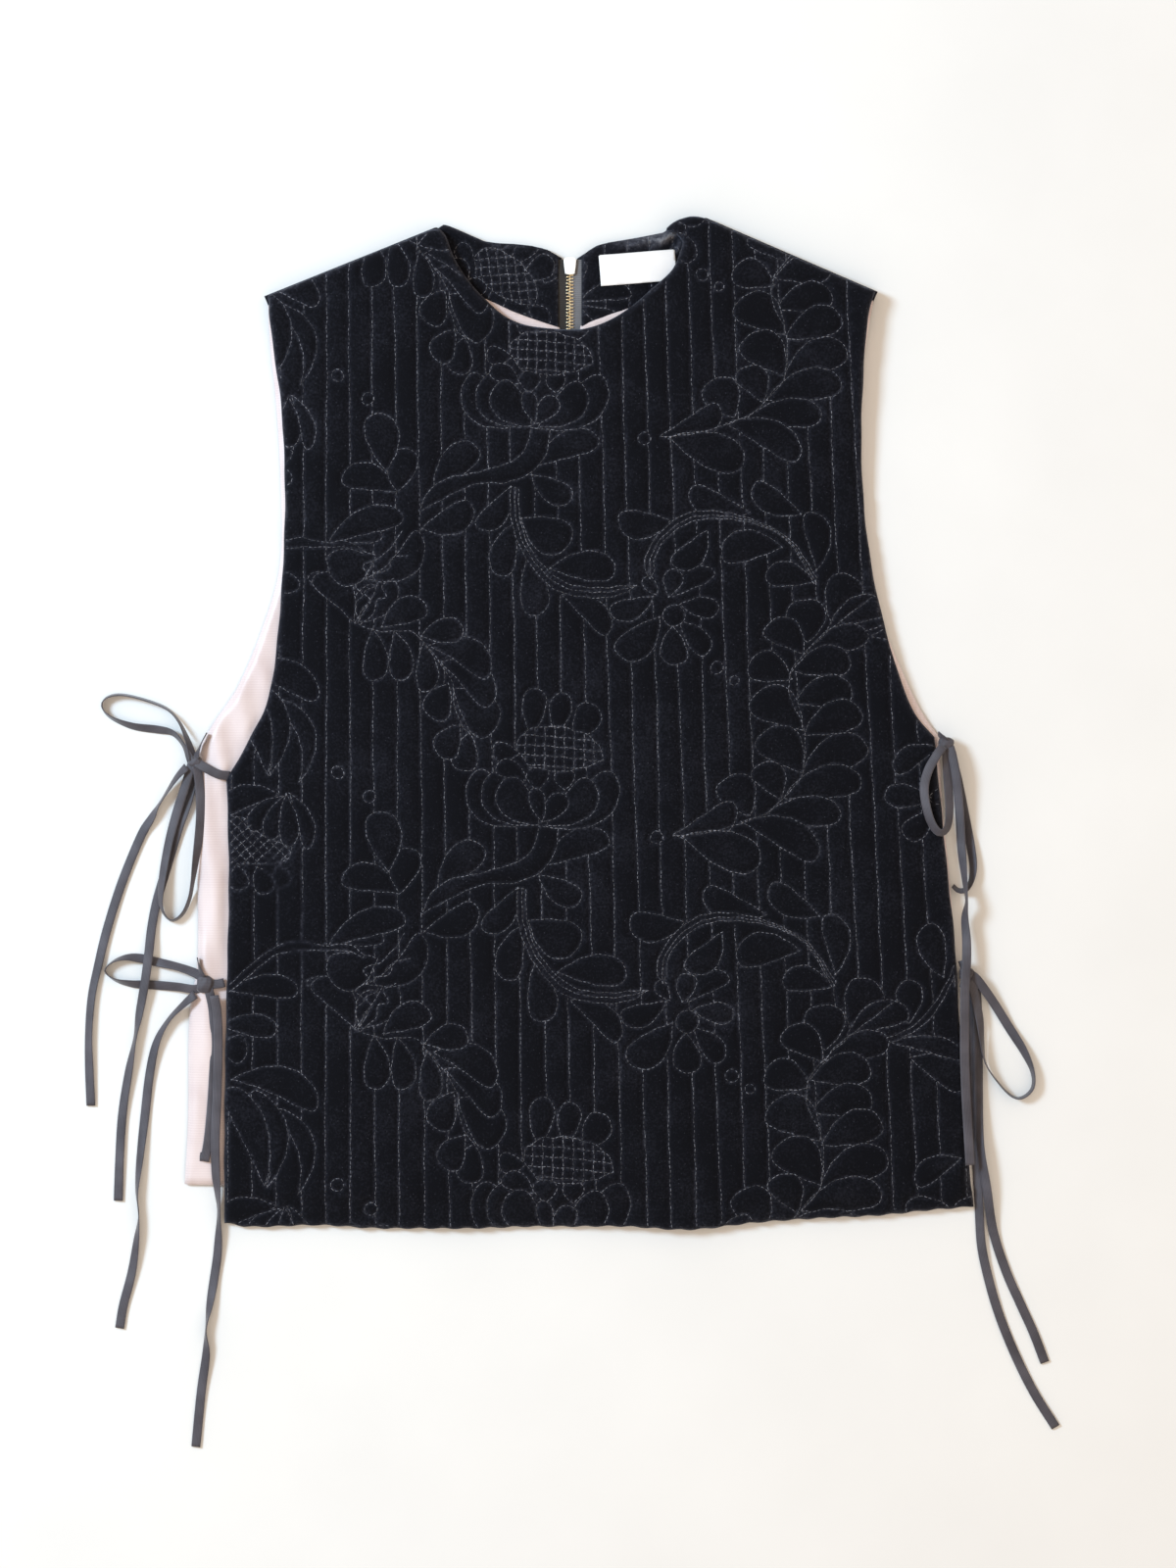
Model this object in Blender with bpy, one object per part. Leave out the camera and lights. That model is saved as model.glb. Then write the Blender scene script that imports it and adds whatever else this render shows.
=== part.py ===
"""A quilted velvet waistcoat top laid flat: one-piece front, back in two halves with a zip, satin lining, quilted
neck facing, a bare label and four bows of narrow ties. The tables are in millimetres, +X to the right of the
garment as it lies, +Y towards its shoulders and +Z up from the surface it lies on. The meshes are in metres."""

import math

import bmesh
import bpy
import numpy as np
from mathutils import Matrix, Vector
from mathutils.geometry import delaunay_2d_cdt
from mathutils.kdtree import KDTree

for old in list(bpy.data.objects):
    bpy.data.objects.remove(old)

MM = 0.001
GAP = 0.3

# Thicknesses of the cloths.
BACK_WALL = 3.9
LINING_WALL = 1.0
FRONT_WALL = 1.8
FRONT_PUFF = 2.0
FACING_WALL = 1.2
FACING_PUFF = 1.3
TAPE_WALL = 1.0

# Heights at which the layers lie where the garment is flat.
LINING_BOTTOM = BACK_WALL + GAP
FRONT_LINING_BOTTOM = LINING_BOTTOM + LINING_WALL + GAP
FRONT_BOTTOM = FRONT_LINING_BOTTOM + LINING_WALL + GAP

# The shoulder: the back folds over the top and meets the front in a seam just past the fold.
FOLD_RADIUS = 6.75
FOLD_WALL_AT_SEAM = 2.6
FOLD_TURN = math.radians(160)
FOLD_MEAN_RADIUS = 5.0
SHOULDER_RISE = 4.0
RISE_FLAT, RISE_REACH = 15.0, 150.0
DROP_REACH = 22.0

# Centre-back zip.
ZIP_X = -5.6
ZIP_TOP, ZIP_END = 293.0, 98.0
CHAIN_WIDTH = 4.5
CHAIN_BOTTOM, CHAIN_TOP = 2.5, 4.3
TAPE_WIDTH = 8.4
RECESS_WALL = 2.6
CHANNEL, SLIDER_CHANNEL = 2.8, 4.5
FACING_FROM_ZIP = 7.3

# Quilting.
CHANNEL_PITCH = 15.0
PATTERN_REPEAT = 253.6
SHAPE_STEP = 11.2       # between the kept points of a shape's outline
CHANNEL_STEP = 28.0     # between the kept points of a straight line
BENDING_STEP = 6.5      # between the kept points where the cloth drops to the surface
SUPPORT_PITCH = 38.0    # between the points that carry the plain undersides

TIE_WIDTH = 6.0
TIE_WALL = 1.0

LEFT_TIP, LEFT_NECK = np.array((-196.9, 270.2)), np.array((-86.0, 314.8))
RIGHT_NECK, RIGHT_TIP = np.array((75.9, 321.0)), np.array((188.1, 272.6))

# Edges of the front, (x, y), each from the left or the top.
FRONT_NECKLINE = [(-83.9, 309.5), (-79.1, 295), (-70, 279.5), (-59.3, 267.1), (-46, 255.5), (-30.8, 249.7),
                  (-6.6, 247.8), (8, 249.5), (25, 256.5), (43, 270.8), (57.9, 284.4), (65.3, 301.2), (73.6, 315.8)]
FRONT_LEFT_ARMHOLE = [(-194.8, 264.9), (-195.3, 254), (-191, 222), (-187.3, 190), (-185.8, 133.8), (-188.9, 71.1),
                      (-195.1, 19.7), (-206.2, -7), (-222.5, -36.1)]
FRONT_LEFT_SIDE = [(-222.5, -36.1), (-221.2, -100), (-222.4, -163), (-223.7, -235), (-224.2, -317)]
FRONT_HEM = [(-224.2, -317), (-205, -319.3), (-160, -318.6), (-112, -320.6), (13, -319), (70, -320.7),
             (125, -315.5), (182, -312.6), (249.5, -306.4)]
FRONT_RIGHT_SIDE = [(249.5, -306.4), (243.9, -243), (240.6, -190), (237.7, -140), (232.7, -92), (224.7, -9.5)]
FRONT_RIGHT_ARMHOLE = [(224.7, -9.5), (212.3, 6), (201.7, 31.5), (188.7, 79.8), (181.5, 123.8), (178.6, 170),
                       (179.4, 211.3), (182, 250), (185.8, 267.4)]

# Edges of the back. It is wider than the front at the left and under the arms.
BACK_LEFT_NECK = [(-83.5, 308.5), (-71.7, 306.5), (-56.2, 303), (-37.6, 301.8), (-22.1, 299.3), (-10.1, 293)]
BACK_RIGHT_NECK = [(-1.1, 293), (6, 297.5), (13.2, 301.8), (30.6, 304.9), (52.3, 309), (73.2, 314.8)]
BACK_LEFT_ARMHOLE = [(-196.3, 263.1), (-195.5, 240), (-191.5, 200), (-188.6, 150), (-189, 100), (-200, 60),
                     (-215.5, 22.8), (-230.1, 1.1), (-240.3, -16.3)]
BACK_LEFT_SIDE = [(-240.3, -16.3), (-241.6, -75), (-241.2, -148), (-246.5, -185), (-247.2, -249), (-249.5, -292.8)]
BACK_HEM = [(-249.5, -292.8), (-120, -294.2), (ZIP_X, -294.5), (110, -295), (236.4, -294.7)]
BACK_RIGHT_SIDE = [(236.4, -294.7), (237.5, -200), (237.2, -140), (234, -92), (230.5, -60), (227.8, -9)]
BACK_RIGHT_ARMHOLE = [(227.8, -9), (216.5, 7), (205.5, 32), (190, 79.8), (181, 124), (177.6, 180),
                      (178.6, 215), (183.5, 250), (186.3, 266)]

# Lower edge of the neck facing, where the lining is sewn to it.
FACING_LEFT_ARC = [(-124, 288), (-100, 280.5), (-78, 273.8), (-59.3, 267.1), (-45, 260.2), (-30.8, 254.7),
                   (-13.2, 248.4)]
FACING_RIGHT_ARC = [(2.0, 249.4), (15.1, 255.3), (31.8, 260.9), (52, 267.5), (78, 277), (112, 290)]


FACING_PATTERN = (-15.0, 49.0)

LABEL_CENTRE = np.array((37.2, 286.4))
LABEL_SIZE = (48.0, 19.5)
LABEL_TURN = 4.5

# The pull's hinge, on the outer side of the slider.
PULL_Y, PULL_Z = 288.0, 0.85

# The ties. A knot is its centre and its size. Every route row is x, y, base, roll: base is the height of what the
# tape lies on there, and roll turns it from flat (0) to standing on its edge (90).
BOWS = {
    "left_upper": {
        "knot": (-242, -25, 8, 8, 8, 4.4),
        "leads": [
            [(-223.3, -34.4, 6, 0), (-229, -32.4, 6.3, 0), (-235, -29, 6.5, 10), (-241, -25.5, 7, 15)],
            [(-238.6, -14.2, 5.3, 30), (-239.8, -18, 5.8, 40), (-241.5, -23, 6.6, 30)],
        ],
        "loops": [
            [(-243, -24, 6.4, 30), (-246.5, -12, 4.5, 60), (-253, 1, 1.2, 82), (-262, 9.3, 0, 84),
             (-278.8, 15.3, 0, 80), (-291, 17.2, 0, 76), (-299, 14.9, 0, 80), (-301.3, 9.6, 0, 86),
             (-296, 3, 0, 70), (-282, -2.6, 0, 42), (-266, -4.8, 0, 36), (-256.5, -7, 0.4, 55),
             (-249.5, -14.5, 3.2, 65), (-244.5, -24.5, 6.2, 30)],
            [(-244, -26.5, 7, 15), (-248.2, -40, 4.6, 15), (-253.6, -56, 2.2, 15), (-258.5, -74, 1.7, 20),
             (-262, -92, 1.7, 30), (-263.9, -108, 2.7, 45), (-263, -119, 1.6, 68), (-257.5, -125.6, 0, 80),
             (-250.5, -121.5, 0, 78), (-246, -112, 0.4, 76), (-243.6, -101, 3.4, 74),
             (-241.6, -88, 5.4, 56), (-239.8, -74, 5.4, 28), (-238.6, -58, 5.4, 12), (-239, -42, 5.8, 10),
             (-240.8, -27, 6.8, 15)],
        ],
        "tails": [
            [(-247.2, -28.4, 6.5, 35), (-254, -35.5, 3.9, 58), (-264.5, -51, 0, 72), (-270, -60.5, 0, 35),
             (-277, -72.4, 0, 10), (-288.1, -99.4, 0, 10), (-297.4, -128, 0, 14), (-304, -154.5, 0, 18),
             (-308, -174, 0, 26), (-309.8, -198, 0, 32), (-309.4, -220, 0, 24), (-308.5, -242.6, 0, 8)],
            [(-242.2, -30.4, 3.1, 20), (-244, -40, 1.1, 25), (-247.6, -53, 0, 25), (-252.6, -66, 0, 15),
             (-257.2, -81, 0, 8), (-262.4, -98, 0, 6), (-267, -114, 0, 8), (-270, -130, 0.8, 12),
             (-271.6, -146.7, 3.6, 6), (-274, -165, 3.9, 8), (-277.6, -184, 1, 30), (-280.4, -200, 0, 66),
             (-284.6, -222, 0, 34), (-288.3, -246, 0, 14), (-290.2, -272, 0, 12), (-291.2, -302.7, 0, 8)],
        ],
    },
    "left_lower": {
        "knot": (-235.8, -165.4, 8.4, 10, 12, 5.2),
        "leads": [
            [(-240.4, -148.6, 5.3, 25), (-239.4, -154, 5.8, 35), (-237, -161, 6.8, 25)],
            [(-223.4, -164.4, 6.2, 10), (-227.5, -165.3, 6.6, 10), (-234, -165.6, 7.4, 10)],
        ],
        "loops": [
            [(-237.5, -161, 6.8, 15), (-243, -158, 5.2, 25), (-253.4, -154.6, 1.6, 35),
             (-267.6, -151.6, 0, 14), (-276, -149.6, 0, 14), (-286, -148.8, 0, 52), (-294.6, -151.6, 0, 78),
             (-299.4, -157.2, 0, 86), (-293.5, -162.8, 0, 76), (-283, -165.4, 0, 46), (-275, -166, 0, 24),
             (-267, -166.4, 0, 14), (-253.4, -167.4, 1.6, 22), (-243, -168.6, 5.2, 20),
             (-237.5, -167.5, 6.8, 15)],
            [(-234.2, -167, 6.2, 0), (-232, -182, 5.4, 0), (-232.6, -205, 5.3, 0), (-233.8, -235, 5.3, 0),
             (-235.8, -262, 5.3, 0), (-236.4, -277.2, 5.3, 0)],
            [(-233.4, -168, 8.2, 0), (-230.6, -182, 7.2, 0), (-229.6, -205, 6.9, 0), (-231, -235, 6.9, 0),
             (-233.4, -262, 6.9, 0), (-236, -277.2, 6.9, 0)],
        ],
        "folds": [(-236.2, -277.4, 6.9, 6.2, 1.4, 2.5)],
        "tails": [
            [(-241.8, -172, 6.7, 15), (-248.5, -177.5, 4.7, 45), (-258.9, -188, 0, 60),
             (-266.8, -202.3, 0, 42), (-271.3, -222.7, 0, 16), (-274.4, -249.4, 0, 10),
             (-277.3, -275, 0, 34), (-279.2, -297, 0, 72), (-278, -312, 0, 86), (-279.6, -328, 0, 52),
             (-282.6, -348, 0, 16), (-288, -369, 0, 6), (-290.4, -383.3, 0, 4)],
            [(-229.6, -172.4, 9.6, 5), (-227.8, -184, 8.8, 4), (-227.3, -202.3, 8.4, 2),
             (-227.9, -233.3, 8.3, 2), (-229, -262, 8.6, 4), (-228.8, -284, 6.6, 20),
             (-227.9, -298, 3.6, 50), (-227.4, -312, 0, 70), (-228.2, -334, 0, 22), (-230.6, -352, 0, 12),
             (-233.4, -369, 0, 40), (-235.6, -384, 0, 78), (-235.6, -400, 0, 34), (-238.8, -424, 0, 10),
             (-242.2, -458.3, 0, 4)],
        ],
    },
    "right_upper": {
        "knot": (231.4, -13.6, 8.6, 9.6, 8.4, 5.2),
        "leads": [
            [(226.6, -6.4, 5.3, 20), (228.6, -9, 6.4, 25), (231, -12.5, 7.2, 15)],
        ],
        "loops": [
            [(229.5, -15.5, 8.8, 20), (225.6, -20.5, 10.6, 24), (220, -30.5, 10.6, 22),
             (217.4, -41.5, 10.6, 22), (218.8, -54, 10.6, 26), (222.6, -65, 10.4, 34),
             (227.6, -70, 10.3, 40), (232.2, -66, 8.6, 34), (233.6, -54, 6.8, 20), (232.6, -36, 6.4, 16),
             (232, -24, 6.8, 16), (231.6, -16, 7.6, 15)],
            [(233, -16, 6.2, 15), (237.6, -30, 3.6, 12), (241, -44, 1.2, 10), (244.6, -62, 0, 12),
             (248, -80, 0, 26), (249.3, -92, 0, 46), (247.6, -101.4, 0, 66), (243.6, -106.4, 0, 62),
             (239.2, -106.2, 0, 62), (236.3, -103.4, 0, 66)],
        ],
        "tails": [
            [(236, -19.4, 9, 15), (238, -34, 8.5, 20), (240, -56, 5.8, 22), (241.6, -80, 3.6, 34),
             (243.4, -100, 4.4, 62), (244.2, -113, 7.5, 84), (243.4, -124, 5.4, 46), (244.4, -138, 7.2, 18),
             (244.2, -152, 8.8, 8), (243.2, -168, 9.6, 4), (242.9, -190, 10.4, 2), (242.9, -212, 10.8, 2),
             (243.8, -236, 10.7, 2), (245.2, -260, 10.6, 2), (246.4, -279.2, 10.5, 2)],
        ],
    },
    "right_lower": {
        "knot": (244.6, -159, 4.6, 9.2, 9, 7.2),
        "leads": [
            [(241.8, -150.4, 4.6, 25), (243, -153.5, 4.4, 25), (244.6, -157.5, 4.2, 15)],
            [(242.6, -168, 3.6, 25), (243.4, -165, 3.6, 25), (244.6, -161, 3.6, 15)],
        ],
        "loops": [
            [(246, -158.4, 4.2, 15), (251.3, -162.6, 5.5, 12), (261.2, -176.2, 3.1, 8),
             (272.2, -193.4, 0, 16), (281.4, -208.4, 0, 46), (286.8, -221.6, 0, 72), (286.5, -231.6, 0, 80),
             (280, -237.4, 0, 82), (273, -236, 0, 80), (264.6, -227.4, 0, 78), (257, -216, 1.8, 80),
             (254.6, -203, 2.6, 62), (252.6, -186, 4.4, 30), (247.4, -162, 4.7, 15)],
        ],
        "tails": [
            [(246.4, -164.2, 1.4, 10), (248.6, -176, 0.2, 8), (249.6, -200, 0, 4), (250, -233, 0, 4),
             (250.6, -262, 0, 10), (252, -286, 0, 14), (253, -306, 0, 26), (254.6, -331, 0, 14),
             (259.8, -355, 0, 6), (266.4, -376.5, 0, 4), (276.2, -400.7, 0, 4), (287.9, -424.2, 0, 4),
             (301.5, -445.9, 0, 4)],
            [(250.8, -168, 2.7, 8), (251.6, -178, 2.4, 6), (252.2, -200, 1.8, 4), (252.4, -233, 1.8, 10),
             (252.8, -256, 2.2, 36), (254, -272, 3.6, 44), (257.4, -293.4, 3.4, 26),
             (261.8, -321.3, 0.6, 6), (270.2, -347.4, 0, 4), (279.8, -369.1, 0, 4), (287.6, -386.4, 0, 4),
             (294.7, -405, 0, 4)],
        ],
    },
}


# ---- Lines and outlines ----

def smooth(rows, spacing):
    """Points at an even spacing along a Catmull-Rom curve through the rows, both ends kept."""
    rows = np.asarray(rows, float)
    padded = np.vstack([2 * rows[0] - rows[1], rows, 2 * rows[-1] - rows[-2]])
    share = np.linspace(0, 1, 24, endpoint=False)[:, None]
    fine = []
    for a, b, c, d in zip(padded, padded[1:], padded[2:], padded[3:]):
        fine.append(0.5 * (2 * b + (c - a) * share + (2 * a - 5 * b + 4 * c - d) * share**2
                           + (3 * b - a - 3 * c + d) * share**3))
    fine = np.vstack(fine + [rows[-1:]])
    along = np.concatenate([[0], np.cumsum(np.linalg.norm(np.diff(fine[:, :3], axis=0), axis=1))])
    wanted = np.linspace(0, along[-1], max(2, round(along[-1] / spacing) + 1))
    return np.column_stack([np.interp(wanted, along, column) for column in fine.T])


def outline(*edges, spacing=11.0):
    """One closed anticlockwise loop from edges that follow on from each other. An array is kept as it is."""
    points = np.vstack([(edge if isinstance(edge, np.ndarray) else smooth(edge, spacing))[:-1] for edge in edges])
    following = np.roll(points, -1, axis=0)
    area = np.sum(points[:, 0] * following[:, 1] - following[:, 0] * points[:, 1])
    return points if area > 0 else points[::-1]


def moved_in(loop, distance):
    """The loop moved inwards by a distance, mitred at its corners."""
    before, after = np.roll(loop, 1, axis=0), np.roll(loop, -1, axis=0)
    into, out = loop - before, after - loop
    into /= np.linalg.norm(into, axis=1)[:, None]
    out /= np.linalg.norm(out, axis=1)[:, None]
    normal = np.column_stack([-(into + out)[:, 1], (into + out)[:, 0]])
    normal /= np.linalg.norm(normal, axis=1)[:, None]
    mitre = np.clip(np.sum(normal * np.column_stack([-into[:, 1], into[:, 0]]), axis=1), 0.6, 1)
    return loop + normal * (distance / mitre)[:, None]


def inside(points, loop):
    """Which of the points the loop holds."""
    x, y = points[:, 0:1], points[:, 1:2]
    x0, y0 = loop[:, 0], loop[:, 1]
    x1, y1 = np.roll(x0, -1), np.roll(y0, -1)
    crosses = (y0 > y) != (y1 > y)
    with np.errstate(divide="ignore", invalid="ignore"):
        left = x < (x1 - x0) * (y - y0) / (y1 - y0) + x0
    return np.count_nonzero(crosses & left, axis=1) % 2 == 1


def distance_to(points, loop):
    """Distance from each point to the nearest stretch of the loop."""
    start, end = loop, np.roll(loop, -1, axis=0)
    run = end - start
    offset = points[:, None, :] - start[None]
    share = np.clip(np.sum(offset * run, axis=2) / np.maximum(np.sum(run * run, axis=1), 1e-9), 0, 1)
    return np.linalg.norm(offset - share[..., None] * run, axis=2).min(axis=1)


def runs(points, keep, shortest=3):
    """The unbroken stretches of points that are kept."""
    breaks = np.flatnonzero(np.diff(keep.astype(int))) + 1
    found = np.split(np.arange(len(points)), breaks)
    return [points[part] for part in found if keep[part[0]] and len(part) >= shortest]


def thinned(points, apart, bending=None):
    """Points of a line a distance apart, closer where they are marked as bending, and the line's last point."""
    bending = np.zeros(len(points), bool) if bending is None else bending
    travelled = np.concatenate([[0], np.cumsum(np.linalg.norm(np.diff(points, axis=0), axis=1))])
    kept = [0]
    for index in range(1, len(points) - 1):
        step = min(apart, BENDING_STEP) if bending[index] else apart
        if travelled[index] - travelled[kept[-1]] >= step and travelled[-1] - travelled[index] > step / 2:
            kept.append(index)
    return points[kept + [len(points) - 1]] if len(points) > 1 else points


# ---- Quilting design: shapes drawn from the front one backwards, each hidden by those before it ----

def leaf(x, y, heading, length, width, bend=0.0):
    """Outline of a leaf or petal: its stalk end at (x, y), pointed there and round at the tip."""
    along = 0.5 - 0.5 * np.cos(np.linspace(0, math.pi, 24))
    half = 1.18 * width * along**0.9 * (1 - along)**0.45
    side = np.concatenate([half, -half[-2:0:-1]])
    reach = np.concatenate([along, along[-2:0:-1]])
    across = side + bend * length * reach**2
    turn = math.radians(heading)
    return np.column_stack([x + length * reach * math.cos(turn) - across * math.sin(turn),
                            y + length * reach * math.sin(turn) + across * math.cos(turn)])


def band(rows, width):
    """Outline of a stem: two lines a width apart along a curve."""
    line = smooth(rows, 3.0)
    run = np.gradient(line, axis=0)
    side = np.column_stack([-run[:, 1], run[:, 0]]) / np.linalg.norm(run, axis=1)[:, None]
    taper = width / 2 * np.clip(np.linspace(1.2, 0.7, len(line)), 0, 1)[:, None]
    return np.vstack([line + side * taper, (line - side * taper)[::-1]])


def leaves_along(rows, pairs, length, width, spread, start=0.08, end=0.92, bend=0.12):
    """Leaves on both sides of a curve, from its far end to its root, shorter towards the end."""
    line = smooth(rows, 2.0)
    found = []
    for share in np.linspace(end, start, pairs):
        index = min(int(share * (len(line) - 1)), len(line) - 2)
        step = line[index + 1] - line[index]
        heading = math.degrees(math.atan2(step[1], step[0]))
        size = 1.0 - 0.35 * share
        for side in (1, -1):
            found.append(leaf(*line[index], heading + side * spread, length * size, width * size, side * bend))
    return found


def blossom(x, y, facing):
    """A cup of petals under a scalloped, cross-hatched dome with three petals on top; facing 1 is up, -1 down."""
    turn = np.linspace(0, math.pi, 22)
    dome = np.column_stack([x + 27 * np.cos(turn), y + facing * (40 + 20 * np.sin(turn))])
    cup = [leaf(x, y + facing, facing * angle, length, width)
           for angle, length, width in ((90, 33, 13), (60, 37, 16), (120, 37, 16), (28, 38, 21), (152, 38, 21))]
    scallops = [leaf(x + along, y + facing * 33, facing * 90, 10, 11) for along in (-25, -15, -5, 5, 15, 25)]
    crown = [leaf(x + along, y + facing * 55, facing * angle, 30, 20)
             for along, angle in ((0, 90), (-14, 112), (14, 68))]
    return [dome] + scallops + cup + crown


def flower(x, y, petals, length, width, first=0.0):
    """A round centre with petals about it."""
    centre = [leaf(x - 5, y, 0, 10, 9)]
    return centre + [leaf(x, y, first + 360 * turn / petals, length, width) for turn in range(petals)]


def motifs(shift):
    """The closed shapes of one repeat of the pattern, front ones first."""
    rise = np.array((0, shift))
    blossom_stem = np.array([(-27, 188), (-35, 174), (-50, 163), (-69, 156), (-87, 147), (-100, 132)]) + rise
    crescent = np.array([(-44, 157), (-44, 135), (-38, 117), (-28, 98), (-13, 84), (4, 78), (20, 79), (35, 86)]) + rise
    arch = np.array([(46, 90), (47, 103), (57, 117), (80, 127), (105, 126), (127, 117), (141, 104), (152, 88)]) + rise
    side_stem = np.array([(-152, 95), (-168, 105), (-187, 111), (-206, 112)]) + rise
    spray_line = np.array([(-139, 62), (-118, 48), (-95, 25), (-72, -8), (-53, -45)]) + rise
    plume_line = np.array([(48, 181), (82, 185), (106, 196), (127, 212), (134, 236), (129, 265), (115, 298)]) + rise
    shapes = [band(blossom_stem, 4.5), band(crescent, 6), band(arch, 5), band(side_stem, 4.5),
              band(spray_line, 1.6), band(plume_line, 1.6)]
    shapes += blossom(-27, 189 + shift, 1)
    shapes += blossom(-203, -48 + shift, -1) + blossom(228, -32 + shift, -1)
    shapes += flower(60, 70 + shift, 8, 25, 15, 20) + flower(-127, 87 + shift, 6, 25, 17, 30)
    shapes += leaves_along(spray_line, 6, 29, 17, 38)
    shapes += leaves_along(plume_line, 6, 38, 25, 42)
    shapes += leaves_along(blossom_stem, 3, 34, 18, 50, 0.3, 0.8)
    shapes += leaves_along(crescent, 4, 30, 17, 50, 0.2, 0.85)
    shapes += leaves_along(arch, 4, 29, 17, 52, 0.2, 0.8)
    shapes += [leaf(-100, 131 + shift, angle, 34, 18) for angle in (95, 135, 175, 215, 255)]
    shapes += [leaf(-3, 5, 0, 6, 6) + (x, y + shift) for x, y in ((-172, 140), (20, 150), (150, 60), (-20, 40))]
    return shapes


def quilting(holds, bends=lambda points: None, offset=(0.0, 0.0)):
    """The lines of stitching inside an area, and a point near the middle of each closed shape. bends marks the
    points where the cloth is bent."""
    offset = np.array(offset)
    drawn, lines, hearts = [], [], []

    def visible(points):
        keep = holds(points)
        for shape in drawn:
            near = np.all((points > shape.min(axis=0) - 2) & (points < shape.max(axis=0) + 2), axis=1) & keep
            if near.any():
                spots = np.flatnonzero(near)
                hidden = inside(points[spots], shape) | (distance_to(points[spots], shape) < 1.3)
                keep[spots[hidden]] = False
        return keep

    for shape in [s + offset for shift in (PATTERN_REPEAT, 0, -PATTERN_REPEAT) for s in motifs(shift)]:
        if not holds(shape).any():
            continue
        closed = np.vstack([shape, shape[:1]])
        steps = np.concatenate([[0], np.cumsum(np.linalg.norm(np.diff(closed, axis=0), axis=1))])
        wanted = np.arange(0, steps[-1], 1.6)
        points = np.column_stack([np.interp(wanted, steps, column) for column in closed.T])
        keep = visible(points)
        if keep.all():
            whole = np.vstack([points, points[:1]])
            lines.append(thinned(whole, SHAPE_STEP, bends(whole)))
        else:
            start = int(np.argmin(keep))
            points, keep = np.roll(points, -start, axis=0), np.roll(keep, -start)
            lines += [thinned(run, SHAPE_STEP, bends(run)) for run in runs(points, keep, 5)]
        drawn.append(shape)
        hearts.append(shape.mean(axis=0))

    height = np.arange(-330.0, 325.0, 3.5)
    for row in range(-17, 18):
        across = row * CHANNEL_PITCH + 0.9 * np.sin(height / 41 + 2.3 * row)
        points = np.column_stack([across, height])
        lines += [thinned(run, CHANNEL_STEP, bends(run)) for run in runs(points, visible(points), 4)]
    return lines, hearts


def tree_of(points):
    tree = KDTree(len(points))
    for index, (x, y) in enumerate(points):
        tree.insert((x, y, 0), index)
    tree.balance()
    return tree


def between(lines, hearts, holds, spacing=17.0):
    """Places for the tops of the puffs: the middles of the shapes, then of the channels between the lines."""
    dense = [points for line in lines for a, b in zip(line, line[1:])
             for points in (a + (b - a) * np.linspace(0, 1, 5)[:, None],)]
    stitched = tree_of(np.vstack(dense))
    grid = [(column * CHANNEL_PITCH / 2, row * spacing + (column % 4 // 2) * spacing / 2)
            for column in range(-34, 35) for row in range(-28, 28)]
    wanted = np.array(list(hearts) + grid)
    wanted = wanted[holds(wanted)]
    picked = []
    for x, y in wanted:
        clear = stitched.find((x, y, 0))[2] > 3.2
        if clear and all((x - u) ** 2 + (y - v) ** 2 > 36 for u, v in picked[-90:] + picked[:len(hearts)]):
            picked.append((x, y))
    return np.array(picked), stitched


# ---- Shape of the garment as it lies ----

class Shoulder:
    """A shoulder's fold: the straight line along the top of the shoulder and the direction out over it."""

    def __init__(self, inner, outer):
        run = (outer - inner) / np.linalg.norm(outer - inner)
        normal = np.array((-run[1], run[0]))
        self.normal = normal if normal[1] > 0 else -normal
        self.point = inner

    def past(self, points):
        """How far each point lies past the fold line, negative on the body of the garment."""
        return (points - self.point) @ self.normal


SHOULDERS = (Shoulder(LEFT_NECK, LEFT_TIP), Shoulder(RIGHT_NECK, RIGHT_TIP))


def eased(share):
    share = np.clip(share, 0, 1)
    return share * share * (3 - 2 * share)


BACK_OUTLINE = outline(BACK_LEFT_ARMHOLE, BACK_LEFT_SIDE, BACK_HEM, BACK_RIGHT_SIDE, BACK_RIGHT_ARMHOLE,
                       [BACK_RIGHT_ARMHOLE[-1], BACK_RIGHT_NECK[-1]], BACK_RIGHT_NECK[::-1],
                       [BACK_RIGHT_NECK[0], BACK_LEFT_NECK[-1]], BACK_LEFT_NECK[::-1],
                       [BACK_LEFT_NECK[0], BACK_LEFT_ARMHOLE[0]])


def front_bottom(points):
    """Height of the front's underside: up over the shoulders, down to the surface past the back's edges."""
    short = np.minimum(*[-shoulder.past(points) for shoulder in SHOULDERS])
    rise = SHOULDER_RISE * (1 - eased((short - RISE_FLAT) / (RISE_REACH - RISE_FLAT)))
    beyond = np.where(inside(points, BACK_OUTLINE), 0, distance_to(points, BACK_OUTLINE))
    return (FRONT_BOTTOM + rise) * (1 - eased((beyond - 1) / (DROP_REACH - 1)))


def raised(points, height):
    return np.column_stack([points, np.broadcast_to(height, len(points))])


def folded(points, shoulder, outer, wall):
    """Places on the back: flat, and past the fold's start round the fold; outer is its underside."""
    start = shoulder.past(points) + FOLD_RADIUS
    angle = np.clip(start, 0, None) / FOLD_MEAN_RADIUS
    thickness = wall + (FOLD_WALL_AT_SEAM - wall) * np.clip(angle / FOLD_TURN, 0, 1)
    radius = FOLD_RADIUS - (0 if outer else thickness)
    flat = points - np.clip(start, 0, None)[:, None] * shoulder.normal
    return np.column_stack([flat + (radius * np.sin(angle))[:, None] * shoulder.normal,
                            FOLD_RADIUS - radius * np.cos(angle)])


# ---- Solids ----

def new_collection(name):
    collection = bpy.data.collections.new(name)
    bpy.context.scene.collection.children.link(collection)
    return collection


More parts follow.
